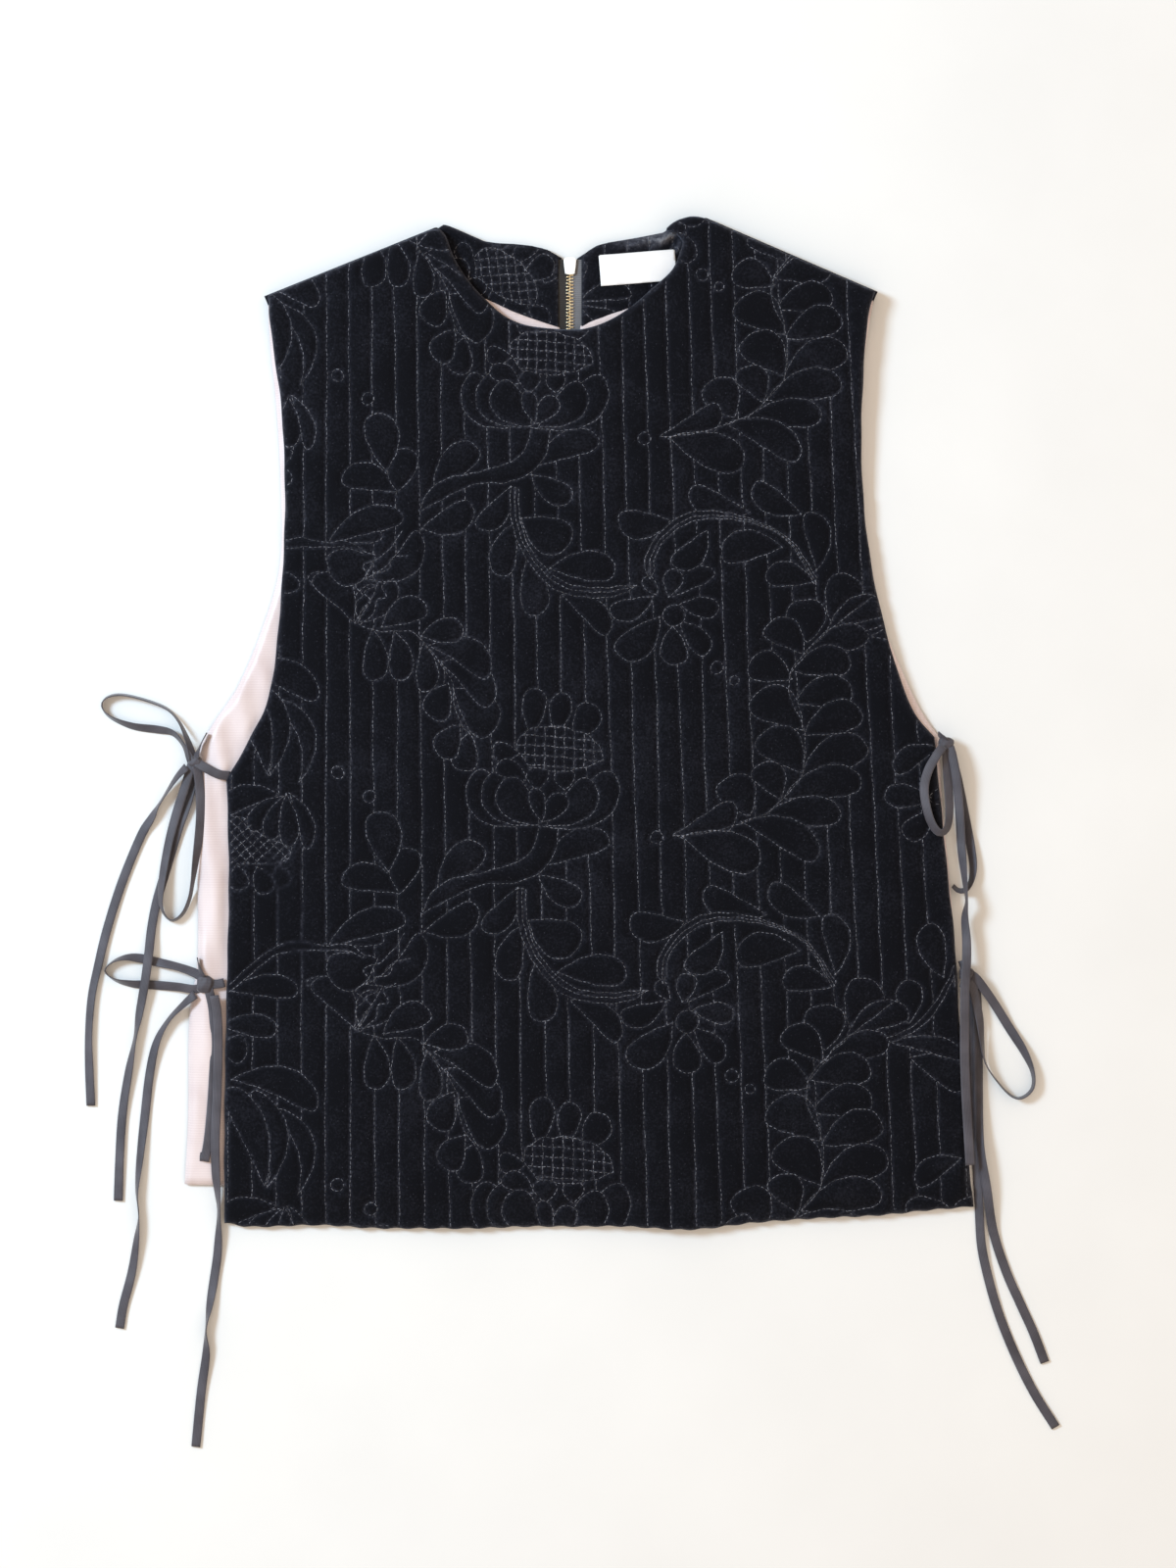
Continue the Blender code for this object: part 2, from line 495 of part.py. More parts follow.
def finish(name, colour, roughness, metallic=0.0):
    material = bpy.data.materials.new(name)
    material.use_nodes = True
    shader = material.node_tree.nodes["Principled BSDF"]
    shader.inputs["Base Color"].default_value = (*colour, 1)
    shader.inputs["Roughness"].default_value = roughness
    shader.inputs["Metallic"].default_value = metallic
    return material


def add(name, mesh, material, origin=(0, 0, 0)):
    """Puts a mesh in the garment's collection, with its origin at a point given in millimetres."""
    mesh.transform(Matrix.Translation([-value * MM for value in origin]))
    obj = bpy.data.objects.new(name, mesh)
    obj.location = [value * MM for value in origin]
    mesh.materials.clear()
    mesh.materials.append(material)
    GARMENT.objects.link(obj)
    return obj


def skin(loop, lines, spots):
    """Triangles that fill the loop and keep the lines as edges: points, faces, and where the loop's points are."""
    points = [tuple(point) for point in loop]
    edges = []
    for line in lines:
        first = len(points)
        points += [tuple(point) for point in line]
        edges += [(index, index + 1) for index in range(first, len(points) - 1)]
    points += [tuple(point) for point in spots]
    found = delaunay_2d_cdt([Vector(point) for point in points], edges, [list(range(len(loop)))], 1, 0.02)
    place = {old: new for new, olds in enumerate(found[3]) for old in olds}
    return np.array([tuple(v) for v in found[0]]), found[2], [place[index] for index in range(len(loop))]


def cloth(name, loop, top, bottom, material, lines=(), spots=(), under=((), ()), rim=None):
    """A cloth wall over a flat outline. top and bottom give the places of points on its two sides, lines and
    spots are kept on the top, the lines and spots of under on the bottom, and a rim (inset, depth) rounds the
    top's edge."""
    upper = moved_in(loop, rim[0]) if rim else loop
    top_points, top_faces, top_ring = skin(upper, lines, spots)
    low_points, low_faces, low_ring = skin(loop, *under)
    places = [top(top_points), bottom(low_points)]
    low_start = len(top_points)
    low_ring = [low_start + index for index in low_ring]
    faces = [tuple(face) for face in top_faces]
    faces += [tuple(low_start + index for index in reversed(face)) for face in low_faces]
    rings = [low_ring, top_ring]
    if rim:
        middle = top(loop)
        middle[:, 2] = np.maximum(middle[:, 2] - rim[1], bottom(loop)[:, 2] + 0.5)
        start = low_start + len(low_points)
        places.append(middle)
        rings.insert(1, list(range(start, start + len(loop))))
    for lower, higher in zip(rings, rings[1:]):
        for a, b, c, d in zip(lower, np.roll(lower, -1), np.roll(higher, -1), higher):
            faces.append((int(a), int(b), int(c), int(d)))
    mesh = bpy.data.meshes.new(name)
    mesh.from_pydata((np.vstack(places) * MM).tolist(), [], faces)
    mesh.validate()
    return add(name, mesh, material)


def prism(points, low, high):
    """A flat plate with a given outline, as a mesh in metres."""
    shape = bmesh.new()
    face = shape.faces.new([shape.verts.new((x * MM, y * MM, low * MM)) for x, y in points])
    lifted = bmesh.ops.extrude_face_region(shape, geom=[face])["geom"]
    for vert in [item for item in lifted if isinstance(item, bmesh.types.BMVert)]:
        vert.co.z = high * MM
    bmesh.ops.recalc_face_normals(shape, faces=shape.faces)
    mesh = bpy.data.meshes.new("plate")
    shape.to_mesh(mesh)
    shape.free()
    return mesh


def box(x, y, z, width, length, height, bevel=0.0):
    """A block centred at (x, y, z), with rounded edges where a bevel is given."""
    shape = bmesh.new()
    bmesh.ops.create_cube(shape, size=1)
    for vert in shape.verts:
        vert.co = Vector((x + vert.co.x * width, y + vert.co.y * length, z + vert.co.z * height)) * MM
    if bevel:
        bmesh.ops.bevel(shape, geom=shape.edges[:], offset=bevel * MM, segments=2, affect="EDGES", profile=0.5)
    mesh = bpy.data.meshes.new("block")
    shape.to_mesh(mesh)
    shape.free()
    return mesh


def joined(meshes):
    """One solid from overlapping ones, by Boolean unions."""
    base = bpy.data.objects.new("joined", meshes[0])
    CUTTERS.objects.link(base)
    helpers = []
    for mesh in meshes[1:]:
        helper = bpy.data.objects.new("joined_piece", mesh)
        helper.hide_render = True
        helper.display_type = "WIRE"
        CUTTERS.objects.link(helper)
        helpers.append(helper)
        union = base.modifiers.new("union", "BOOLEAN")
        union.operation = "UNION"
        union.object = helper
        union.use_self = True
    bpy.context.view_layer.update()
    graph = bpy.context.evaluated_depsgraph_get()
    result = bpy.data.meshes.new_from_object(base.evaluated_get(graph))
    for obj in [base] + helpers:
        bpy.data.objects.remove(obj)
    return result


def ribbon(rows, step):
    """A flat tape along a route. Each row is (x, y, base, roll): base is the height of what it lies on, and roll
    turns it from flat (0) to standing on its edge (90)."""
    x, y, base, roll = smooth(rows, step).T
    turn = np.radians(np.clip(roll, 0, 90))[:, None]
    half = (TIE_WIDTH * np.sin(turn[:, 0]) + TIE_WALL * np.cos(turn[:, 0])) / 2
    route = np.column_stack([x, y, np.maximum(base, 0) + GAP + half])
    run = np.gradient(route, axis=0)
    run /= np.linalg.norm(run, axis=1)[:, None]
    flat = np.column_stack([-run[:, 1], run[:, 0], np.zeros(len(run))])
    flat /= np.linalg.norm(flat, axis=1)[:, None]
    lifted = np.cross(run, flat)
    side = (flat * np.cos(turn) + lifted * np.sin(turn)) * TIE_WIDTH / 2
    face = (lifted * np.cos(turn) - flat * np.sin(turn)) * TIE_WALL / 2
    corners = [route + u * side + v * face for u, v in ((1, 1), (-1, 1), (-1, -1), (1, -1))]
    shape = bmesh.new()
    rings = [[shape.verts.new(corner[index] * MM) for corner in corners] for index in range(len(route))]
    for first, second in zip(rings, rings[1:]):
        for a in range(4):
            quad = [first[a], first[a - 1], second[a - 1], second[a]]
            if a == 3:
                quad = quad[1:] + quad[:1]  # the diagonal runs the same way on both broad faces
            shape.faces.new(quad[:3])
            shape.faces.new(quad[2:] + quad[:1])
    shape.faces.new(rings[0])
    shape.faces.new(rings[-1][::-1])
    bmesh.ops.recalc_face_normals(shape, faces=shape.faces)
    mesh = bpy.data.meshes.new("ribbon")
    shape.to_mesh(mesh)
    shape.free()
    return mesh


# ---- The pieces ----

def support(loop):
    """What carries the curved height of a layer under the front: lines beside the back's edge, where the layer
    starts to drop to the surface, and staggered points elsewhere."""
    lines = []
    for beyond in (1.5, 8.0, 15.0):
        contour = smooth(np.vstack([moved_in(BACK_OUTLINE, -beyond), moved_in(BACK_OUTLINE, -beyond)[:1]]), 14.0)
        lines += runs(contour, inside(contour, loop) & (distance_to(contour, loop) > 2.5), 2)
    spots = np.array([(column * SUPPORT_PITCH + row % 2 * SUPPORT_PITCH / 2, row * SUPPORT_PITCH * 0.8)
                      for column in range(-8, 9) for row in range(-11, 12)])
    clear = inside(spots, loop) & (distance_to(spots, loop) > 4.0)
    clear &= distance_to(spots, moved_in(BACK_OUTLINE, -1.5)) > 6.0
    return lines, spots[clear]


def make_front():
    loop = outline(FRONT_NECKLINE[::-1], [FRONT_NECKLINE[0], FRONT_LEFT_ARMHOLE[0]], FRONT_LEFT_ARMHOLE,
                   FRONT_LEFT_SIDE, FRONT_HEM, FRONT_RIGHT_SIDE, FRONT_RIGHT_ARMHOLE,
                   [FRONT_RIGHT_ARMHOLE[-1], FRONT_NECKLINE[-1]])

    def holds(points):
        return inside(points, loop) & (distance_to(points, loop) > 4.5)

    def bends(points):
        return ~inside(points, BACK_OUTLINE) & (distance_to(points, BACK_OUTLINE) < DROP_REACH)

    lines, hearts = quilting(holds, bends)
    spots, stitched = between(lines, hearts, holds)

    def quilted(points):
        reach = np.array([stitched.find((x, y, 0))[2] for x, y in points])
        return raised(points, front_bottom(points) + FRONT_WALL + FRONT_PUFF * (1 - np.exp(-reach / 3.0)))

    lining = moved_in(loop, 2.2)
    lining[:, 1] = np.maximum(lining[:, 1], -308.5)
    lines_under, spots_under = support(lining)
    cloth("front_panel", loop, quilted, lambda points: raised(points, front_bottom(points)), VELVET, lines, spots,
          ([np.vstack([lining, lining[:1]])] + lines_under, spots_under), rim=(1.4, 1.3))
    cloth("front_lining", lining, lambda points: raised(points, front_bottom(points) - GAP),
          lambda points: raised(points, front_bottom(points) - GAP - LINING_WALL), SATIN, lines_under, spots_under,
          (lines_under, spots_under))


def half_of_back(side):
    """The edges of one half, each going on from the last: neck from the shoulder to the zip, hem from the centre
    outwards, side and armhole upwards. side is -1 at the left and 1 at the right."""
    if side < 0:
        return (BACK_LEFT_NECK, [(ZIP_X, BACK_HEM[2][1])] + BACK_HEM[1::-1], BACK_LEFT_SIDE[::-1],
                BACK_LEFT_ARMHOLE[::-1], FACING_LEFT_ARC, SHOULDERS[0])
    return (BACK_RIGHT_NECK[::-1], [(ZIP_X, BACK_HEM[2][1])] + BACK_HEM[3:], BACK_RIGHT_SIDE,
            BACK_RIGHT_ARMHOLE, FACING_RIGHT_ARC[::-1], SHOULDERS[1])


def straight(points):
    """Edges that join the points by straight lines."""
    return [[a, b] for a, b in zip(points, points[1:])]


def make_back(word, side):
    """Half of the back, with a recess for the zip's tape on its inner side and a fold over the shoulder."""
    neck, hem, edge, armhole, _, shoulder = half_of_back(side)
    recess = CHAIN_WIDTH / 2 + GAP + TAPE_WIDTH + 0.6
    recess_end = ZIP_END - 8
    step = 0.2
    (x, y), (u, v) = neck[-2:]
    notches = [(ZIP_X + side * reach, y + (v - y) * (ZIP_X + side * reach - x) / (u - x))
               for reach in (recess + step, recess - step)]
    seam_x = ZIP_X + side * GAP / 2
    centre = notches + [neck[-1], (ZIP_X + side * SLIDER_CHANNEL, 281), (ZIP_X + side * CHANNEL, 279),
                        (ZIP_X + side * CHANNEL, ZIP_END), (seam_x, ZIP_END - 3), (seam_x, recess_end + step),
                        (seam_x, recess_end - step), (seam_x, hem[0][1])]
    across = np.linspace(armhole[-1], neck[0], 8)
    rows = shoulder.normal * np.linspace(0, FOLD_MEAN_RADIUS * FOLD_TURN, 9)[:, None]
    loop = outline(neck[:-1] + notches[:1], *straight(centre), [centre[-1]] + hem[1:], edge, armhole,
                   armhole[-1] + rows, across + rows[-1], neck[0] + rows[::-1])
    steps = [smooth([(ZIP_X + side * (recess + shift), 294.0), (ZIP_X + side * (recess + shift), recess_end - shift)],
                    30.0) for shift in (-step, step)]
    steps += [np.array([line[-1], (ZIP_X + side * 1.2, line[-1][1])]) for line in steps]
    fold = np.vstack([across[1:-1] + row for row in rows[:-1]])

    def inner(points):
        recessed = (np.abs(points[:, 0] - ZIP_X) < recess) & (points[:, 1] > recess_end)
        return folded(points, shoulder, False, np.where(recessed, RECESS_WALL, BACK_WALL))

    cloth("back_panel_" + word, loop, inner, lambda points: folded(points, shoulder, True, BACK_WALL), VELVET,
          steps, fold, ((), fold))


def flat_at(height):
    return lambda points: raised(points, height)


def make_back_lining(word, side):
    """Satin over the inner side of half the back, from the facing down, clear of the zip's teeth."""
    _, hem, edge, armhole, arc, _ = half_of_back(side)
    inset = 1.2
    arc = [(x, y + inset - 2.5 * GAP) for x, y in arc]
    zip_x, seam_x = ZIP_X + side * (FACING_FROM_ZIP - inset), ZIP_X + side * (GAP / 2 - inset)
    centre = [(zip_x, arc[-1][1]), (zip_x, ZIP_END - 3), (seam_x, ZIP_END - 6), (seam_x, hem[0][1])]
    loop = outline(arc[:-1] + centre[:1], *straight(centre), [centre[-1]] + hem[1:], edge, armhole,
                   [armhole[-1], arc[0]])
    cloth("back_lining_" + word, moved_in(loop, inset), flat_at(LINING_BOTTOM + LINING_WALL),
          flat_at(LINING_BOTTOM), SATIN)


def make_facing(word, side):
    """Quilted velvet inside the back neck, its far end just short of the shoulder's fold."""
    neck, _, _, _, arc, shoulder = half_of_back(side)
    neck = [(x, y - 0.5) for x, y in neck]
    neck[0] = tuple(np.array(neck[0]) - 1.5 * shoulder.normal)
    zip_x = ZIP_X + side * FACING_FROM_ZIP
    loop = outline(neck[:-1] + [(zip_x, neck[-1][1] + 1.5)], [(zip_x, neck[-1][1] + 1.5), (zip_x, arc[-1][1])],
                   [(zip_x, arc[-1][1])] + arc[-2::-1], [arc[0], neck[0]], spacing=8.0)

    def holds(points):
        return inside(points, loop) & (distance_to(points, loop) > 3.0)

    lines, hearts = quilting(holds, offset=FACING_PATTERN)
    spots, stitched = between(lines, hearts, holds, 10.0)

    def quilted(points):
        reach = np.array([stitched.find((x, y, 0))[2] for x, y in points])
        return raised(points, LINING_BOTTOM + FACING_WALL + FACING_PUFF * (1 - np.exp(-reach / 3.0)))

    cloth("neck_facing_" + word, loop, quilted, flat_at(LINING_BOTTOM), VELVET, lines, spots)


def make_label():
    """A bare woven label sewn to the right facing, its right end under the edge of the front."""
    turn = math.radians(LABEL_TURN)
    across, up = np.array((math.cos(turn), math.sin(turn))), np.array((-math.sin(turn), math.cos(turn)))
    corners = [LABEL_CENTRE + across * u * LABEL_SIZE[0] / 2 + up * v * LABEL_SIZE[1] / 2
               for u, v in ((-1, -1), (1, -1), (1, 1), (-1, 1))]
    bottom = LINING_BOTTOM + FACING_WALL + FACING_PUFF + GAP
    cloth("label", outline(*straight(corners + corners[:1])), flat_at(bottom + TAPE_WALL), flat_at(bottom), LABEL)


def make_zip():
    """Metal zip: two tapes under the facings, the closed chain between them and the slider at the neck."""
    inner = CHAIN_WIDTH / 2 + GAP
    tape_bottom = RECESS_WALL + GAP
    for word, side in (("left", -1), ("right", 1)):
        xs = sorted((ZIP_X + side * inner, ZIP_X + side * (inner + TAPE_WIDTH)))
        corners = [(xs[0], ZIP_END - 4), (xs[1], ZIP_END - 4), (xs[1], ZIP_TOP - 1), (xs[0], ZIP_TOP - 1)]
        mesh = prism(corners, tape_bottom, tape_bottom + TAPE_WALL)
        add("zip_tape_" + word, mesh, TAPE)
    chain_end = ZIP_TOP - 5
    add("zip_chain", box(ZIP_X, (chain_end + ZIP_END) / 2, (CHAIN_BOTTOM + CHAIN_TOP) / 2, CHAIN_WIDTH,
                         chain_end - ZIP_END, CHAIN_TOP - CHAIN_BOTTOM), BRASS)

    shield = [(-3, -10.4), (3, -10.4), (3.6, -6), (4, -1.6), (2.6, 0), (-2.6, 0), (-4, -1.6), (-3.6, -6)]
    shield = [(ZIP_X + x, ZIP_TOP + y) for x, y in shield]
    post = box(ZIP_X, ZIP_TOP - 2.6, 3.4, 2.4, 3.2, 4.0)
    ears = [box(ZIP_X + side * 2.1, PULL_Y, 1.05, 0.8, 1.2, 1.6) for side in (-1, 1)]
    add("zip_slider", joined([prism(shield, 4.6, 5.4), post, prism(shield, 1.6, 2.2)] + ears), BRASS)

    tab = [(-1.2, 0.45), (-1.2, -2), (-2.2, -3.4), (-2.2, -20.5), (-1.2, -22), (1.2, -22), (2.2, -20.5), (2.2, -3.4),
           (1.2, -2), (1.2, 0.45)]
    tab = [(ZIP_X + x, PULL_Y + y) for x, y in tab]
    add("zip_pull", prism(tab, PULL_Z - 0.45, PULL_Z + 0.45), BRASS, (ZIP_X, PULL_Y, PULL_Z))


def make_bow(word, bow):
    """The knot, the two leads from the garment and the loops are one solid; each loose end is its own."""
    x, y, z, width, length, height = bow["knot"]
    knot = box(x, y, z, width, length, height, bevel=1.4)
    leads = [ribbon(rows, 4.0) for rows in bow["leads"]]
    loops = [ribbon(rows, 5.0) for rows in bow["loops"]]
    folds = [box(*fold) for fold in bow.get("folds", [])]
    add("bow_" + word, joined([knot] + leads + loops + folds), TIES)
    for number, rows in enumerate(bow["tails"], 1):
        add(f"tie_{word}_tail_{number}", ribbon(rows, 11.0), TIES)


# Finishes.
VELVET = finish("velvet", (0.009, 0.010, 0.016), 0.9)
SATIN = finish("satin lining", (0.80, 0.68, 0.68), 0.35)
TIES = finish("woven tie", (0.085, 0.08, 0.095), 0.75)
TAPE = finish("zip tape", (0.06, 0.06, 0.07), 0.8)
BRASS = finish("brass", (0.72, 0.52, 0.27), 0.3, 1.0)
LABEL = finish("label", (0.86, 0.85, 0.84), 0.5)

# ---- The garment ----

GARMENT = new_collection("velvet_waistcoat")
CUTTERS = new_collection("cutters")

make_front()
for half, hand in (("left", -1), ("right", 1)):
    make_back(half, hand)
    make_back_lining(half, hand)
    make_facing(half, hand)
make_label()
make_zip()
for place, tie in BOWS.items():
    make_bow(place, tie)
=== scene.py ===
import math

import bmesh
import bpy
import numpy as np
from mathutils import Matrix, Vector
from mathutils.kdtree import KDTree


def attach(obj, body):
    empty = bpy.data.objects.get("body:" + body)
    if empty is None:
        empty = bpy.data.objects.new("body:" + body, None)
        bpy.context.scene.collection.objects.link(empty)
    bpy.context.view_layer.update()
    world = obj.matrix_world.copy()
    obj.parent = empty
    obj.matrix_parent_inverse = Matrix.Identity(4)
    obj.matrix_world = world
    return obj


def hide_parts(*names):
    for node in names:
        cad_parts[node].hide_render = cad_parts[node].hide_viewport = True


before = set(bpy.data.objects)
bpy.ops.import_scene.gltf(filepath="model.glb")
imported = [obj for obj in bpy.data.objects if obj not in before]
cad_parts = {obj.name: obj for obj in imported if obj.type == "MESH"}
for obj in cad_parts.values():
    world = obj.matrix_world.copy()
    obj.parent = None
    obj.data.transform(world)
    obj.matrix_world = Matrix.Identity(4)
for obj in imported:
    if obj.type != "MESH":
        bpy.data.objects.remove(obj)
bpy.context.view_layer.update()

# ==== The board, the light and the camera ====
# The waistcoat lies flat on a pale painted board by a large window: soft light comes in low from the upper
# left, and the camera looks straight down.

MM = 0.001


def set_inputs(node, **values):
    """Sets a node's inputs by name, with an underscore for each space."""
    for name, value in values.items():
        node.inputs[name.replace("_", " ")].default_value = value
    return node


def wire(link, *joins):
    """Links nodes, each join an output's node and name and an input's node and name."""
    for start, output, end, socket in joins:
        link(start.outputs[output], end.inputs[socket])


def new_material(name, **values):
    """A material and its nodes, a linker and its Principled shader, set to the values."""
    material = bpy.data.materials.new(name)
    material.use_nodes = True
    nodes = material.node_tree.nodes
    return material, nodes, material.node_tree.links.new, set_inputs(nodes["Principled BSDF"], **values)


def ramp(nodes, *stops):
    """A colour ramp with a (position, colour) for each stop."""
    node = nodes.new("ShaderNodeValToRGB")
    elements = node.color_ramp.elements
    while len(elements) < len(stops):
        elements.new(0.5)
    for element, (position, colour) in zip(elements, stops):
        element.position = position
        element.color = (*colour, 1)
    return node


def in_scene(name, data):
    """A new object in the scene that holds the data."""
    thing = bpy.data.objects.new(name, data)
    bpy.context.scene.collection.objects.link(thing)
    return thing


board_mesh = bpy.data.meshes.new("board")
board_mesh.from_pydata([(-3, -3, 0), (3, -3, 0), (3, 3, 0), (-3, 3, 0)], [], [(0, 1, 2, 3)])
paint, nodes, link, shader = new_material("board_paint", Roughness=0.7, Specular_IOR_Level=0.2)
grain = set_inputs(nodes.new("ShaderNodeTexNoise"), Scale=9, Detail=6)
place = nodes.new("ShaderNodeTexCoord")
tone = ramp(nodes, (0.3, (0.85, 0.845, 0.84)), (0.7, (0.88, 0.876, 0.872)))
wire(link, (place, "Object", grain, "Vector"), (grain, "Fac", tone, "Fac"),
     (tone, "Color", shader, "Base Color"))
board_mesh.materials.append(paint)
in_scene("board", board_mesh)

for name, place, size, power, colour in (
        ("window", (-1.62, 0.7, 1.65), 0.7, 54, (0.59, 0.81, 1.0)),
        ("room", (1.6, -1.2, 2.4), 2.6, 8, (1.0, 0.90, 0.78))):
    light = bpy.data.lights.new(name, "AREA")
    light.shape = "DISK"
    light.size = size
    light.energy = power
    light.color = colour
    lamp = in_scene(name, light)
    lamp.location = place
    lamp.rotation_euler = (-Vector(place)).to_track_quat("-Z", "Y").to_euler()
world = bpy.data.worlds.new("room")
world.use_nodes = True
set_inputs(world.node_tree.nodes["Background"], Color=(1.0, 0.84, 0.68, 1), Strength=0.76)
bpy.context.scene.world = world
bpy.context.scene.view_settings.view_transform = "Standard"

LENS, SENSOR, VIEW_HEIGHT = 85.0, 36.0, 0.992
camera = in_scene("camera", bpy.data.cameras.new("camera"))
camera.data.lens = LENS
camera.data.sensor_width = SENSOR
camera.location = (0.0058, -0.0392, VIEW_HEIGHT * LENS / SENSOR)
bpy.context.scene.camera = camera

# ==== The ties ====
# Four bows of narrow grey woven tape, 6 mm wide, close the two open sides. Each hangs on short leads sewn to
# the front and the back, is tied once in a bow and keeps its loose ends, cut square.

TIE_WIDTH, TIE_WALL, TIE_CROWN, GAP = 6.0, 0.7, 0.22, 0.3


def smooth(rows, spacing):
    """Points at an even spacing along a Catmull-Rom curve through the rows, both ends kept."""
    rows = np.asarray(rows, float)
    padded = np.vstack([2 * rows[0] - rows[1], rows, 2 * rows[-1] - rows[-2]])
    share = np.linspace(0, 1, 24, endpoint=False)[:, None]
    fine = []
    for a, b, c, d in zip(padded, padded[1:], padded[2:], padded[3:]):
        fine.append(0.5 * (2 * b + (c - a) * share + (2 * a - 5 * b + 4 * c - d) * share**2
                           + (3 * b - a - 3 * c + d) * share**3))
    fine = np.vstack(fine + [rows[-1:]])
    along = lengths_along(fine[:, :3])
    wanted = np.linspace(0, along[-1], max(2, round(along[-1] / spacing) + 1))
    return np.column_stack([np.interp(wanted, along, column) for column in fine.T])


def lengths_along(points):
    """How far each point lies along a route."""
    return np.concatenate([[0], np.cumsum(np.linalg.norm(np.diff(points, axis=0), axis=1))])


def finished(name, mesh, material, smoothed=True):
    """A piece in the scene from its mesh."""
    mesh.materials.append(material)
    mesh.polygons.foreach_set("use_smooth", [smoothed] * len(mesh.polygons))
    return in_scene(name, mesh)


def link_mesh(name, points, faces, material):
    """A smooth-shaded piece from points in metres."""
    mesh = bpy.data.meshes.new(name)
    mesh.from_pydata(np.asarray(points).tolist(), [], [tuple(int(i) for i in face) for face in faces])
    mesh.validate()
    return finished(name, mesh, material)


def set_map(piece, points):
    """Where each point lies on the tape, in metres, as the woven threads read it."""
    piece.data.attributes.new("tape_map", "FLOAT_VECTOR", "POINT").data.foreach_set("vector", points.ravel())


def worn(piece, node, body="garment"):
    """Puts a finished piece on its body in place of its solid."""
    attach(piece, body)
    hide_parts(node)


def new_group(name, kind, inputs, outputs):
    """A node group with its sockets, each a name, a kind and perhaps a value: the group, its nodes, a linker
    and its two ends."""
    group = bpy.data.node_groups.new(name, kind)
    for way, sockets in (("INPUT", inputs), ("OUTPUT", outputs)):
        for socket, sort, *value in sockets:
            made = group.interface.new_socket(socket, in_out=way, socket_type="NodeSocket" + sort)
            if value:
                made.default_value = value[0]
    nodes = group.nodes
    return group, nodes, group.links.new, nodes.new("NodeGroupInput"), nodes.new("NodeGroupOutput")


def calculator(nodes, link):
    """A function that works out a value in nodes from numbers and other nodes' outputs."""
    def maths(operation, *values):
        node = nodes.new("ShaderNodeMath")
        node.operation = operation
        for socket, value in zip(node.inputs, values):
            if isinstance(value, (int, float)):
                socket.default_value = value
            else:
                link(value, socket)
        return node.outputs[0]
    return maths


# Fine woven threads: a height from two crossing waves with their sizes on a named map, and a mask of wear.
THREADS, nodes, link, start, end = new_group(
    "woven_threads", "ShaderNodeTree",
    [("Vector", "Vector"), ("Along", "Float", 2000.0), ("Across", "Float", 2000.0), ("Twill", "Float", 0.0)],
    [("Height", "Float"), ("Wear", "Float")])
split = nodes.new("ShaderNodeSeparateXYZ")
link(start.outputs["Vector"], split.inputs[0])
maths = calculator(nodes, link)
slanted = maths("ADD", split.outputs["X"], maths("MULTIPLY", split.outputs["Y"], start.outputs["Twill"]))
warp = maths("SINE", maths("MULTIPLY", slanted, start.outputs["Along"]))
weft = maths("SINE", maths("MULTIPLY", split.outputs["Y"], start.outputs["Across"]))
link(maths("ADD", maths("MULTIPLY", maths("ADD", warp, weft), 0.25), 0.5), end.inputs["Height"])
wear = set_inputs(nodes.new("ShaderNodeTexNoise"), Scale=45, Detail=5)
wire(link, (start, "Vector", wear, "Vector"), (wear, "Fac", end, "Wear"))


def woven(name, pale, dark, along, across, twill, depth, map_name=None, roughness=0.6, sheen=0.2, shine=0.35):
    """A woven cloth: threads at their real spacing over two tones of its colour."""
    material, nodes, link, shader = new_material(name, Roughness=roughness, Specular_IOR_Level=shine,
                                                 Sheen_Weight=sheen, Sheen_Roughness=0.4)
    threads = nodes.new("ShaderNodeGroup")
    threads.node_tree = THREADS
    set_inputs(threads, Along=2 * math.pi / along, Across=2 * math.pi / across, Twill=twill)
    place = nodes.new("ShaderNodeAttribute" if map_name else "ShaderNodeTexCoord")
    if map_name:
        place.attribute_name = map_name
    mixed = nodes.new("ShaderNodeMath")
    mixed.operation = "MULTIPLY_ADD"
    mixed.inputs[1].default_value = 0.45
    tones = ramp(nodes, (0.45, dark), (0.95, pale))
    bump = set_inputs(nodes.new("ShaderNodeBump"), Strength=0.6, Distance=depth)
    wire(link, (place, "Vector" if map_name else "Object", threads, "Vector"), (threads, "Height", mixed, 0),
         (threads, "Wear", mixed, 2), (mixed, 0, tones, "Fac"), (tones, "Color", shader, "Base Color"),
         (threads, "Height", bump, "Height"), (bump, "Normal", shader, "Normal"))
    return material


TIE_TAPE = woven("tie_tape", (0.098, 0.091, 0.110), (0.034, 0.030, 0.039), along=0.00042, across=0.0009,
                 twill=0.0, depth=0.00012, map_name="tape_map", roughness=0.5, sheen=0.35)


